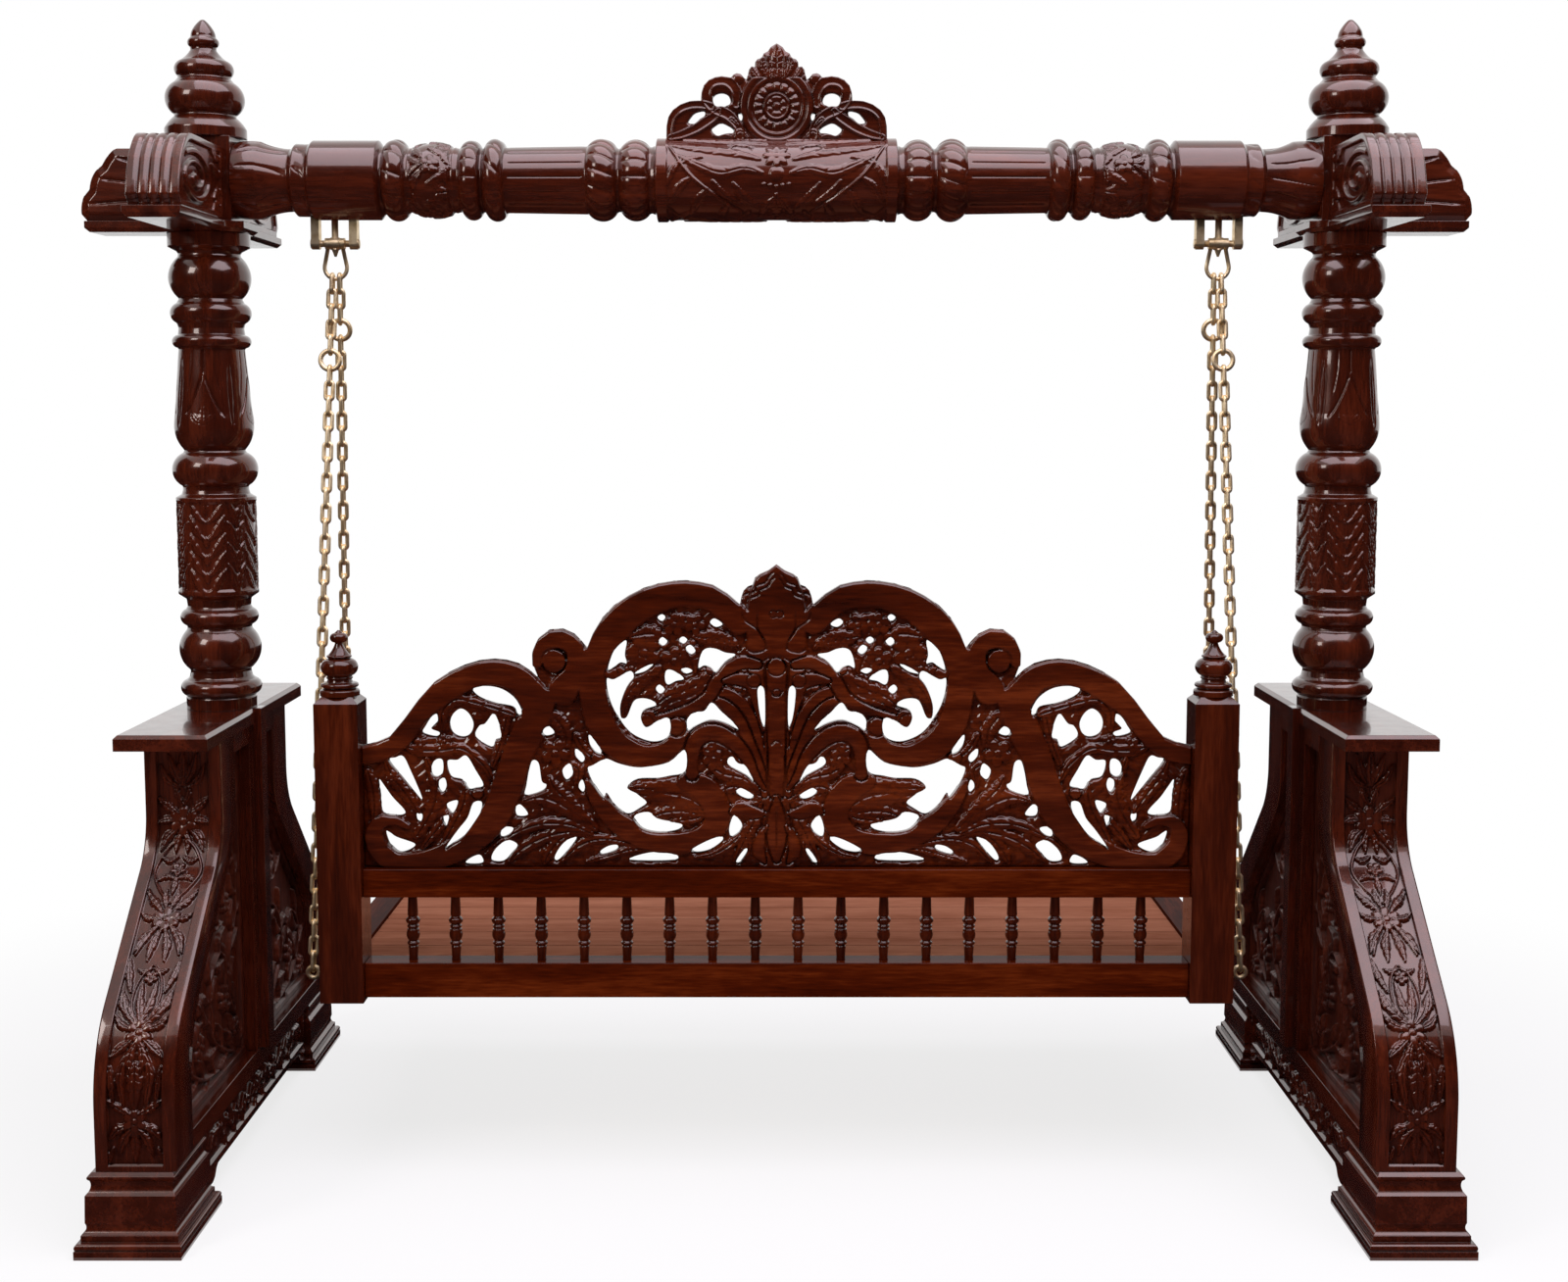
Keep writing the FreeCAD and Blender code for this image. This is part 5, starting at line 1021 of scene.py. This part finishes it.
def crest_carve(u, v, s):
    """How deep each point of the crest lies under its face: ribbons, a medallion and a crown of leaves."""
    u = -np.abs(u)
    deep = np.clip(-s, 0, None)
    field = Relief(u, v)
    field.height = -8 * mm + 3 * mm * np.sqrt(np.clip(deep / (7 * mm), 0, 1))
    lifted = Relief(u, v)
    for leaf in crest_leaf_pixels:
        lifted.leaf(on_pixels(leaf, crest_fit), 7.5 * mm, vein=1.6 * mm, drop=0.6)
    field.height = np.maximum(field.height, np.where(lifted.height > 0, lifted.height - 8.5 * mm, -9.0))
    for line in crest_band_pixels:
        field.band(on_pixels(line, crest_fit), -0.5 * mm, edge=0.30, lip=2.4 * mm)
    for cu, cv, cr in on_pixels(crest_ball_pixels, crest_fit):
        q = np.hypot(u - cu, v - cv) / cr
        dome = -7 * mm + 7 * mm * np.sqrt(np.clip(1 - q * q, 0, 1))
        field.height = np.where(q < 1, np.maximum(field.height, dome), field.height)
    up = v - medallion_height
    rho, phi = np.hypot(u, up * 0.97), np.arctan2(up, u)
    dish = np.interp(rho / mm, medallion_rings[:, 0], medallion_rings[:, 1]) * mm
    petals = np.abs(np.cos(8 * phi)) ** 0.7 * within(rho, 25 * mm, 42 * mm, 6 * mm) * 3.4 * mm
    small = np.abs(np.cos(3.5 * phi)) * within(rho, 8 * mm, 19 * mm, 4 * mm) * 1.8 * mm
    round_part = (rho < medallion_radius) & ~((v > crown_foot) & (rho > 46 * mm))
    field.height = np.where(round_part, dish + petals + small, field.height)
    return np.clip(-field.height, 0, None) + rounded_edge(deep, 3.0 * mm)


carved_board(
    "carved_crest", lambda points: points + np.array([0.0, 0.0, crest_base]), crest_high.y - crest_low.y,
    (crest_low.x, -3 * mm), (crest_high.x, crest_high.z - crest_base), 0.9 * mm, crest_solid, crest_carve,
    rim=fine_rim, body="stand", slot="stand_wood", look=stand_along_x, replaces=("beam_crest",),
)

# Carved legs, panels and aprons of the stands

leg_x = (box_of("leg_front_right")[0].x + box_of("leg_front_right")[1].x) / 2
slope_bulge = math.tan(math.radians(48.0 / 4))
leg_rows = [
    (225, 776, 0), (225, 654, slope_bulge), (266.4, 561.1, 0), (455.5, 390.8, -slope_bulge),
    (525, 234.7, 0), (525, 132, 0),
]
inner_rows = [
    (130, 741, 0), (130, 654, slope_bulge), (171.4, 561.1, 0), (360.5, 390.8, -slope_bulge),
    (430, 234.7, 0), (430, 167, 0),
]
leg_leaves = [
    [(0, 74, 3), (0, 46, 11), (0, 16, 2)], [(3, 76, 3), (15, 50, 9), (24, 22, 2)],
    [(5, 80, 3), (26, 66, 8), (38, 40, 2)],
    [(10, 124, 3), (28, 112, 9), (42, 98, 2)], [(8, 136, 3), (30, 136, 8), (43, 140, 2)],
    [(8, 148, 4), (26, 164, 9), (36, 188, 2)],
    [(2, 150, 3), (9, 172, 7), (10, 192, 1)], [(2, 108, 3), (10, 92, 7), (12, 78, 1)],
    [(4, 198, 3), (18, 206, 7), (30, 200, 2)], [(4, 240, 3), (18, 236, 8), (32, 246, 2)],
    [(0, 236, 2), (0, 254, 7), (0, 274, 1)],
    [(10, 306, 3), (26, 288, 9), (42, 268, 2)], [(4, 300, 3), (10, 280, 7), (10, 262, 1)],
    [(12, 322, 3), (30, 320, 8), (43, 310, 2)],
    [(10, 336, 3), (28, 358, 10), (40, 388, 2)], [(4, 344, 3), (12, 372, 9), (14, 404, 2)],
    [(2, 418, 2), (14, 424, 7), (26, 418, 1)], [(42, 400, 3), (37, 430, 8), (28, 462, 3)],
    [(40, 460, 3), (36, 486, 8), (26, 504, 2)],
    [(0, 520, 4), (8, 486, 9), (12, 444, 3)], [(4, 524, 4), (24, 500, 10), (36, 466, 2)],
    [(8, 530, 4), (30, 522, 8), (43, 504, 2)],
    [(8, 544, 4), (26, 560, 9), (42, 574, 2)], [(2, 548, 4), (10, 572, 9), (8, 600, 2)],
    [(0, 585, 5), (0, 616, 15), (0, 656, 5)], [(12, 566, 3), (24, 604, 9), (18, 652, 4)],
    [(41, 590, 3), (38, 618, 7), (34, 650, 2)],
    [(5, 668, 3), (26, 656, 8), (42, 644, 2)], [(0, 690, 4), (0, 716, 10), (0, 744, 2)],
    [(4, 690, 3), (18, 708, 9), (28, 736, 2)],
    [(6, 684, 3), (28, 692, 9), (42, 708, 2)], [(36, 722, 2), (40, 734, 5), (42, 746, 2)],
]
leg_stems = [
    [(2, 162, 1.8), (26, 188, 2.2), (39, 226, 2.2), (24, 262, 2.2), (2, 290, 1.8)],
    [(2, 322, 1.8), (22, 292, 2.0), (42, 262, 1.8)], [(2, 322, 1.8), (20, 352, 2.2), (36, 392, 1.8)],
    [(2, 412, 1.6), (18, 440, 2.0), (22, 480, 2.0), (8, 520, 1.6)],
]
leg_flowers = [
    (0, 138, 27, 6), (0, 222, 15, 5), (0, 322, 26, 6), (0, 436, 13, 5), (0, 534, 24, 6), (0, 678, 21, 6),
]
leg_depth = 6.6 * mm


def whole_leg(side_name, side, end_name, end):
    """A curved leg: its carved face in a sunk field between plain edges, its sides and its inner face."""
    line = evened(arcs([(y * mm, z * mm, bulge) for y, z, bulge in leg_rows]), 1.0 * mm, 0.4 * mm)
    run = np.concatenate([[0], np.cumsum(np.hypot(*np.diff(line, axis=0).T))])
    heading = np.gradient(line, axis=0)
    heading /= np.hypot(*heading.T)[:, None]
    outward = np.column_stack([-heading[:, 1], heading[:, 0]])
    edge = np.array([-65, -64.8, -64.2, -63.2, -62, -54, -46, -44.6, -44.1, -43.6])
    across = np.concatenate([edge, np.linspace(-42.6, 42.6, 78), -edge[::-1]]) * mm
    rounded = np.concatenate([[3, 1.9, 0.9, 0.25], np.zeros(len(across) - 8), [0.25, 0.9, 1.9, 3]]) * mm
    u, v = np.meshgrid(across, run, indexing="ij")
    field = Relief(np.abs(u), v)
    for leaf in leg_leaves:
        field.leaf(in_mm(leaf), 6.3 * mm, vein=2.8 * mm, lobes=3, drop=0.68)
    for stem in leg_stems:
        field.band(in_mm(stem), 5.0 * mm, edge=0.8)
    for cu, cv, radius, petals in leg_flowers:
        field.flower((cu * mm, cv * mm), radius * mm, 6.2 * mm, petals=petals, turn=math.pi / 2)
    sunk = within(np.abs(u), -1, 44.3 * mm, 0.6 * mm) * within(v, 9 * mm, run[-1] - 9 * mm, 0.8 * mm)
    height = -(leg_depth - np.minimum(field.height, leg_depth)) * sunk - rounded[:, None]
    place = line[None] + outward[None] * height[..., None]
    inner = np.array([(65, -92), (64.2, -94.2), (62, -95), (-62, -95), (-64.2, -94.2), (-65, -92)]) * mm
    inner_x = np.repeat(inner[:, :1], len(line), axis=1)
    inner_y = line[None, :, 0] + inner[:, 1:]
    xs = np.vstack([u, inner_x])
    ys = np.vstack([place[..., 0], inner_y])
    zs = np.vstack([place[..., 1], np.repeat(line[None, :, 1], len(inner), axis=0)])
    points = np.stack([xs + side * leg_x, ys * end, zs], axis=-1).reshape(-1, 3)
    number = np.arange(xs.size).reshape(xs.shape)
    following = np.roll(number, -1, axis=0)
    quads = np.stack([number[:, :-1], following[:, :-1], following[:, 1:], number[:, 1:]], axis=-1)
    quads = quads.reshape(-1, 4)
    ends = []
    for k, turned in ((0, True), (-1, False)):
        middle = len(points)
        points = np.vstack([points, points[number[:, k]].mean(axis=0)])
        ring = np.column_stack([number[:, k], following[:, k], np.full(len(number), middle)])
        ends.append(ring[:, ::-1] if turned else ring)
    caps = np.vstack(ends)
    if end < 0:
        quads, caps = quads[:, ::-1], caps[:, ::-1]
    piece(
        f"carved_leg_{end_name}_{side_name}", points, [quads, caps], body="stand", slot="stand_wood",
        look=stand_along_z, replaces=(f"leg_{end_name}_{side_name}",),
    )


for side_name, side in sides:
    for end_name, end in (("front", -1), ("rear", 1)):
        whole_leg(side_name, side, end_name, end)

panel_vines = [
    [(60, 175, 3), (75, 240, 4), (120, 300, 4), (110, 380, 4), (70, 440, 4), (70, 520, 4), (95, 580, 4),
     (80, 650, 3), (84, 720, 2)],
    [(90, 185, 3), (170, 215, 4), (240, 270, 4), (230, 350, 4), (170, 390, 4), (135, 350, 3),
     (150, 310, 2)],
    [(200, 185, 3), (290, 200, 4), (360, 240, 4), (370, 300, 4), (320, 340, 4), (285, 310, 3),
     (300, 270, 2)],
    [(150, 440, 3), (200, 440, 4), (190, 490, 4), (140, 500, 3), (125, 470, 2)],
]
panel_flowers = [
    (150, 305, 26), (300, 262, 26), (128, 470, 22), (84, 690, 24), (90, 232, 20), (395, 205, 22),
    (100, 590, 18),
]


def vine(field, line, top, leaf_long, leaf_wide, gap, field_top):
    """A stem with leaves that curl away from it on both sides in turn."""
    path = smooth(line, 8)
    run = np.concatenate([[0], np.cumsum(np.hypot(*np.diff(path[:, :2], axis=0).T))])
    turn = 1
    for place in np.arange(gap * 0.6, run[-1] - gap * 0.3, gap):
        at = np.array([np.interp(place, run, path[:, k]) for k in (0, 1)])
        on = np.array([np.interp(place + 2 * mm, run, path[:, k]) for k in (0, 1)])
        ahead = (on - at) / max(np.hypot(*(on - at)), 1e-9)
        aside = np.array([-ahead[1], ahead[0]]) * turn
        middle = at + aside * leaf_long * 0.50 + ahead * leaf_long * 0.35
        tip = at + aside * leaf_long * 0.75 + ahead * leaf_long * 1.0
        rows = [(*at, 1.5 * mm), (*middle, leaf_wide), (*tip, 1.5 * mm)]
        field.leaf(rows, field_top, vein=1.6 * mm, lobes=4, drop=0.6)
        turn = -turn
    field.band(line, top, edge=0.7)


def panel_solid(u, v):
    """Distance to the outline of the panel between stile and leg."""
    curve = evened(arcs([(y * mm, z * mm, bulge) for y, z, bulge in inner_rows]), 8 * mm, 0.4 * mm)
    return edge_distance(u, v, np.vstack([in_mm([(36, 167), (36, 741)]), curve])) - 1 * mm


def panel_carve(u, v, s):
    """Scrolling stems with leaves and flowers on a deep ground."""
    field = Relief(u, v)
    for line in panel_vines:
        vine(field, in_mm(line), 8 * mm, 46 * mm, 13 * mm, 34 * mm, 8.5 * mm)
    for cu, cv, radius in panel_flowers:
        field.flower((cu * mm, cv * mm), radius * mm, 9 * mm, petals=6, turn=cu)
    plain_edge = np.clip((-s - 12 * mm) / (2 * mm), 0, 1)
    return 0.2 * mm + (9.5 * mm - np.minimum(field.height, 9.5 * mm)) * plain_edge


def panel_place(middle, end):
    """The panel's own points (along Y, across, up) as places on a stand."""
    return lambda points: np.column_stack([points[:, 1] * -end + middle, points[:, 0] * end, points[:, 2]])


for side_name, side in sides:
    for end_name, end in (("front", -1), ("rear", 1)):
        carved_board(
            f"carved_panel_{end_name}_{side_name}", panel_place(side * leg_x, end), 88 * mm, (0.03, 0.16),
            (0.44, 0.75), 2.2 * mm, panel_solid, panel_carve, body="stand", slot="stand_wood",
            look=panel_wood,
            replaces=(f"side_panels_{side_name}",),
        )

apron_box = box_of("apron_right")


def apron_solid(u, v):
    """Distance to the apron's outline."""
    loop = np.array([
        (-333, 132), (-333, 28), (-311, 28), (-298, 33), (-288, 45), (-278, 50), (278, 50), (288, 45),
        (298, 33), (311, 28), (333, 28), (333, 132),
    ]) * mm
    return edge_distance(u, v, loop)


def apron_carve(u, v, s):
    """A running stem with leaves between plain rims."""
    field = Relief(np.abs(u), v)
    wave = [(k * 26, 96 + 14 * (-1) ** k, 3) for k in range(12)]
    vine(field, in_mm(wave), 5 * mm, 34 * mm, 10 * mm, 22 * mm, 5.5 * mm)
    field.flower((0.0, 96 * mm), 20 * mm, 6 * mm, petals=6)
    plain_edge = within(v, 62 * mm, 128 * mm, 2 * mm) * np.clip((-s - 9 * mm) / (2 * mm), 0, 1)
    return 0.2 * mm + (6 * mm - np.minimum(field.height, 6 * mm)) * plain_edge


def apron_place(x):
    """The apron's own points as places on a stand."""
    return lambda points: np.column_stack([x - points[:, 1], points[:, 0], points[:, 2]])


for side_name, side in sides:
    carved_board(
        f"carved_apron_{side_name}", apron_place(side * (apron_box[0].x + apron_box[1].x) / 2),
        apron_box[1].x - apron_box[0].x, (-0.333, 0.028), (0.333, 0.132), 1.8 * mm, apron_solid,
        apron_carve, body="stand", slot="stand_wood", look=stand_along_y,
        replaces=(f"apron_{side_name}",),
    )

# Scroll brackets of the capitals

scroll_shares = [
    (0.95, 0.00), (0.95, 0.05), (0.99, 0.15, 0.05), (0.91, 0.63, 0.07), (0.81, 0.88, 0.20), (0.67, 1.00),
]
leaf_shares = [
    (0.93, 0.00), (1.00, 0.10, 0.12), (0.97, 0.34), (0.90, 0.44, 0.16), (0.82, 0.70), (0.75, 0.77, 0.10),
    (0.62, 0.98), (0.58, 1.00),
]
leafy_veins = [
    [(62, 20), (120, 34), (196, 30)], [(62, 44), (120, 66), (178, 74)], [(62, 70), (100, 96), (150, 112)],
]
reeded_leaves = [
    [(66, 14, 4), (84, 22, 13), (108, 14, 5)], [(66, 46, 4), (82, 44, 11), (104, 34, 3)],
    [(66, 76, 4), (84, 78, 12), (110, 90, 3)], [(66, 104, 4), (90, 106, 11), (120, 116, 3)],
]
scroll_height = 127 * mm
scroll_width = 88 * mm
block_half = (block_high.x - block_low.x) / 2


def bracket_loop(shares, reach):
    """A bracket's outline from the block along its foot, nose and back."""
    run = reach - block_half
    rows = [(block_half, 0, 0)]
    rows += [(block_half + run * r, scroll_height * t, bulge[0] if bulge else 0) for r, t, *bulge in shares]
    return evened(arcs(rows + [(block_half, scroll_height, 0)]), 2.5 * mm, 0.4 * mm)


def reeded_carve(u, v, s):
    """A volute in a sunk field inside a rim that follows the bracket's back."""
    field = Relief(u, v)
    turns = np.linspace(0, 1, 46)
    angle = 0.30 * math.pi + turns * 3.9 * math.pi
    shrink = (1 - turns) ** 0.85
    centre_u, centre_v = block_half + 150 * mm, 56 * mm
    line = np.column_stack([
        centre_u + (12 * mm + 76 * mm * shrink) * np.cos(angle),
        centre_v + (6 * mm + 40 * mm * shrink) * np.sin(angle), 2.2 * mm + 4.2 * mm * shrink,
    ])
    field.band(line, 5 * mm, edge=0.7, steps=2)
    field.dome((centre_u + 4 * mm, centre_v), 9 * mm, 6 * mm)
    for leaf in reeded_leaves:
        field.leaf(in_mm(leaf), 4.5 * mm, vein=1.2 * mm, lobes=3)
    deep = np.clip(-s, 0, None)
    rim = np.clip((deep - 11 * mm) / (2.5 * mm), 0, 1)
    eased_edge = 1.2 * mm * np.clip(1 - deep / (2 * mm), 0, 1) ** 2
    return (5 * mm - np.minimum(field.height, 5 * mm)) * rim + eased_edge


def leafy_carve(u, v, s):
    """Broad bevelled facets along the lobes, and the veins of a leaf between them."""
    deep = np.clip(-s, 0, None)
    fall = 9 * mm * np.clip(1 - deep / (15 * mm), 0, 1)
    field = Relief(u, v)
    for line in leafy_veins:
        field.groove(in_mm(line), 4 * mm, 4 * mm)
    return fall - field.height * (deep > 13 * mm)


def reeds(count, sunk, samples=60):
    """Rounded reeds across a board's edge."""
    rows = []
    for k in range(samples + 1):
        share = k / samples
        q = abs(share * count % 1 * 2 - 1) if 0.5 / count < share < 1 - 0.5 / count else 0
        rows.append((share, sunk * (1 - math.sqrt(1 - 0.97 * q ** 2.4))))
    return rows


def turned_about(heading, x, z):
    """A board's points (outwards, across, up) turned about the vertical and set at a post."""
    cos, sin = round(math.cos(heading)), round(math.sin(heading))
    return lambda points: np.column_stack([
        points[:, 0] * cos - points[:, 1] * sin + x, points[:, 0] * sin + points[:, 1] * cos,
        points[:, 2] + z,
    ])


def bracket(name, heading, side, loop, carve, rim, grain, node):
    """One bracket as a carved board with a shaped edge."""
    reach = loop[:, 0].max()
    carved_board(
        name, turned_about(heading, side * post_x, box_of(node)[0].z), scroll_width, (block_half, 0.0),
        (reach, scroll_height), 1.5 * mm, lambda u, v: edge_distance(u, v, loop), carve, rim=rim,
        body="stand", slot="stand_wood", look=grain, replaces=(node,),
    )


reeded_loop = bracket_loop(scroll_shares, 318 * mm)
leafy_loop = bracket_loop(leaf_shares, 214 * mm)
quarter = math.pi / 2
for side_name, side in sides:
    for end_name, heading in (("front", -quarter), ("rear", quarter)):
        node = f"bracket_{end_name}_{side_name}"
        bracket("carved_" + node, heading, side, reeded_loop, reeded_carve, reeds(5, 5 * mm),
                stand_along_y, node)
    node = f"bracket_outer_{side_name}"
    heading = 0.0 if side > 0 else 2 * quarter
    bracket("carved_" + node, heading, side, leafy_loop, leafy_carve, reeds(1, 0.0, 24), stand_along_x, node)

# Pieces that keep their CAD form, with their edges eased

stand_looks = {
    "foot_": (stand_along_y, 1.6), "frame_rails": (stand_along_y, 1.2), "stand_cap": (stand_along_y, 1.0),
    "capital_plate": (stand_along_y, 1.0), "middle_stile": (stand_along_z, 1.5),
    "capital_block": (stand_along_z, 1.5), "hook_": (metal, 0.0), "hook_staple": (metal, -1.8),
}
swing_looks = {
    "lower_rail": (seat_along_x, 2.0), "upper_rail": (seat_along_x, 2.0), "front_rail": (seat_along_x, 2.5),
    "side_rails": (seat_along_y, 2.5), "deck_battens": (seat_along_y, 1.2), "deck": (deck_wood, 1.2),
    "back_post_": (seat_along_z, 1.8), "front_posts": (seat_along_z, 2.0),
    "shackle": (metal, 0.0), "chain": (metal, -1.2), "seat_eyes": (metal, 0.0),
}


def eased(node, body, look, width):
    """A node's own form with smooth curves: rounded edges by a width above zero, fuller by one below zero."""
    work = bmesh.new()
    work.from_mesh(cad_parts[node].data)
    bmesh.ops.remove_doubles(work, verts=work.verts, dist=0.02 * mm)
    if width < 0:
        work.normal_update()
        for vertex in work.verts:
            vertex.co -= vertex.normal * (width * mm)
    if width > 0:
        bmesh.ops.dissolve_limit(work, angle_limit=math.radians(0.6), verts=work.verts, edges=work.edges)
        shared = [edge for edge in work.edges if len(edge.link_faces) == 2]
        sharp = [edge for edge in shared if edge.calc_face_angle() > math.radians(28)]
        bmesh.ops.bevel(
            work, geom=sharp, offset=width * mm, segments=3, affect="EDGES", profile=0.5, clamp_overlap=True,
        )
    mesh = bpy.data.meshes.new("eased_" + node)
    work.to_mesh(mesh)
    work.free()
    mesh.polygons.foreach_set("use_smooth", np.ones(len(mesh.polygons), dtype=bool))
    mesh.set_sharp_from_angle(angle=math.radians(38))
    mesh.materials.clear()
    mesh.materials.append(look)
    made = bpy.data.objects.new("eased_" + node, mesh)
    bpy.context.scene.collection.objects.link(made)
    if width > 0:
        even = made.modifiers.new("even_normals", "WEIGHTED_NORMAL")
        even.keep_sharp = True
        even.weight = 100
    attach(made, body)
    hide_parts(node)


for body, looks in (("stand", stand_looks), ("swing", swing_looks)):
    for node in sorted(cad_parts):
        found = [start for start in looks if node.startswith(start)]
        if found:
            eased(node, body, *looks[max(found, key=len)])

# Studio


def lamp(name, place, aim, size, glow, colour):
    """A rectangular soft light, whose glow is its brightness seen directly."""
    light = bpy.data.lights.new(name, "AREA")
    light.shape = "RECTANGLE"
    light.size, light.size_y = size
    light.energy = glow * math.pi * size[0] * size[1]
    light.color = colour
    made = bpy.data.objects.new(name, light)
    made.location = place
    made.rotation_euler = (Vector(aim) - Vector(place)).to_track_quat("-Z", "Y").to_euler()
    bpy.context.scene.collection.objects.link(made)


lamp("overhead", (0.75, -1.3, 4.2), (0.75, -1.0, 0.0), (4.9, 3.6), 3.4, (0.95, 0.87, 1.0))
lamp("left_window", (-3.0, -2.6, 3.0), (-0.7, 0.0, 1.2), (1.1, 1.3), 9.0, (1.0, 0.96, 0.93))


def plain_board(name, corners, look):
    """A flat board of the studio."""
    mesh = bpy.data.meshes.new(name)
    mesh.from_pydata(corners, [], [tuple(range(len(corners)))])
    made = bpy.data.objects.new(name, mesh)
    bpy.context.scene.collection.objects.link(made)
    mesh.materials.append(look)
    return made


# Painted reflection: black boards seen only in reflections, hidden from the camera, from diffuse light and
# from shadows. They make the glossy wood and brass reflect darkness where the white background would show.
dark_reflection_look, _, _, shader = material("reflection_only_black")
shader.inputs["Base Color"].default_value = (0.012, 0.011, 0.012, 1)
shader.inputs["Roughness"].default_value = 1.0
shader.inputs["Specular IOR Level"].default_value = 0.0
for name, corners in (
    ("dark_reflection_behind_camera", [(-7, -6, 0.01), (7, -6, 0.01), (7, -6, 6), (-7, -6, 6)]),
    ("dark_reflection_left", [(-6, -6, 0.01), (-6, 2, 0.01), (-6, 2, 6), (-6, -6, 6)]),
    ("dark_reflection_right", [(6, -6, 0.01), (6, 2, 0.01), (6, 2, 6), (6, -6, 6)]),
    ("dark_reflection_below", [(-14, -14, 0.005), (14, -14, 0.005), (14, 14, 0.005), (-14, 14, 0.005)]),
):
    dark_reflection_card = plain_board(name, corners, dark_reflection_look)
    dark_reflection_card.visible_camera = False
    dark_reflection_card.visible_diffuse = False
    dark_reflection_card.visible_shadow = False

world = bpy.data.worlds.new("studio")
bpy.context.scene.world = world
world.use_nodes = True
nodes, links = world.node_tree.nodes, world.node_tree.links
background = nodes["Background"]


def seen_directly(nodes, links):
    """One for camera, glossy and transmission rays, so that the background is white in reflections too."""
    ray = nodes.new("ShaderNodeLightPath")
    total = None
    for output in ("Is Camera Ray", "Is Glossy Ray", "Is Transmission Ray"):
        if total is None:
            total = ray.outputs[output]
            continue
        both = nodes.new("ShaderNodeMath")
        both.operation = "MAXIMUM"
        links.new(total, both.inputs[0])
        links.new(ray.outputs[output], both.inputs[1])
        total = both.outputs[0]
    return total


level = add_node(nodes, "MapRange", To_Min=0.30, To_Max=1.0)
links.new(seen_directly(nodes, links), level.inputs["Value"])
links.new(level.outputs["Result"], background.inputs["Strength"])
background.inputs["Color"].default_value = (1, 1, 1, 1)

# The floor is lit as it is round the swing and fades to the white of the background

pale, nodes, links, shader = material("pale_floor")
shader.inputs["Base Color"].default_value = (0.93, 0.93, 0.93, 1)
shader.inputs["Roughness"].default_value = 0.9
shader.inputs["Specular IOR Level"].default_value = 0.0
place = add_node(nodes, "TexCoord")
far = nodes.new("ShaderNodeVectorMath")
far.operation = "LENGTH"
fade = add_node(nodes, "MapRange", From_Min=1.5, From_Max=2.6, To_Min=0.78)
fade.interpolation_type = "SMOOTHSTEP"
white = add_node(nodes, "Emission", Color=(1, 1, 1, 1), Strength=1.0)
share = nodes.new("ShaderNodeMath")
share.operation = "MULTIPLY"
mixed = add_node(nodes, "MixShader")
for start, end in (
    (place.outputs["Object"], far.inputs[0]), (far.outputs["Value"], fade.inputs["Value"]),
    (fade.outputs["Result"], share.inputs[0]), (seen_directly(nodes, links), share.inputs[1]),
    (share.outputs[0], mixed.inputs["Fac"]), (shader.outputs[0], mixed.inputs[1]),
    (white.outputs[0], mixed.inputs[2]), (mixed.outputs[0], nodes["Material Output"].inputs["Surface"]),
):
    links.new(start, end)
reach = 14.0
plain_board("floor", [(-reach, -reach, 0), (reach, -reach, 0), (reach, reach, 0), (-reach, reach, 0)], pale)

# Camera

camera_data = bpy.data.cameras.new("camera")
camera_data.sensor_width = 36.0
camera_data.lens = 44.93
camera_data.shift_y = -0.0243
camera = bpy.data.objects.new("camera", camera_data)
camera.location = (0.013, -3.549, 1.349)
camera.rotation_euler = (math.radians(90 - 5.71), 0, 0)
bpy.context.scene.collection.objects.link(camera)
bpy.context.scene.camera = camera
bpy.context.scene.view_settings.view_transform = "Standard"
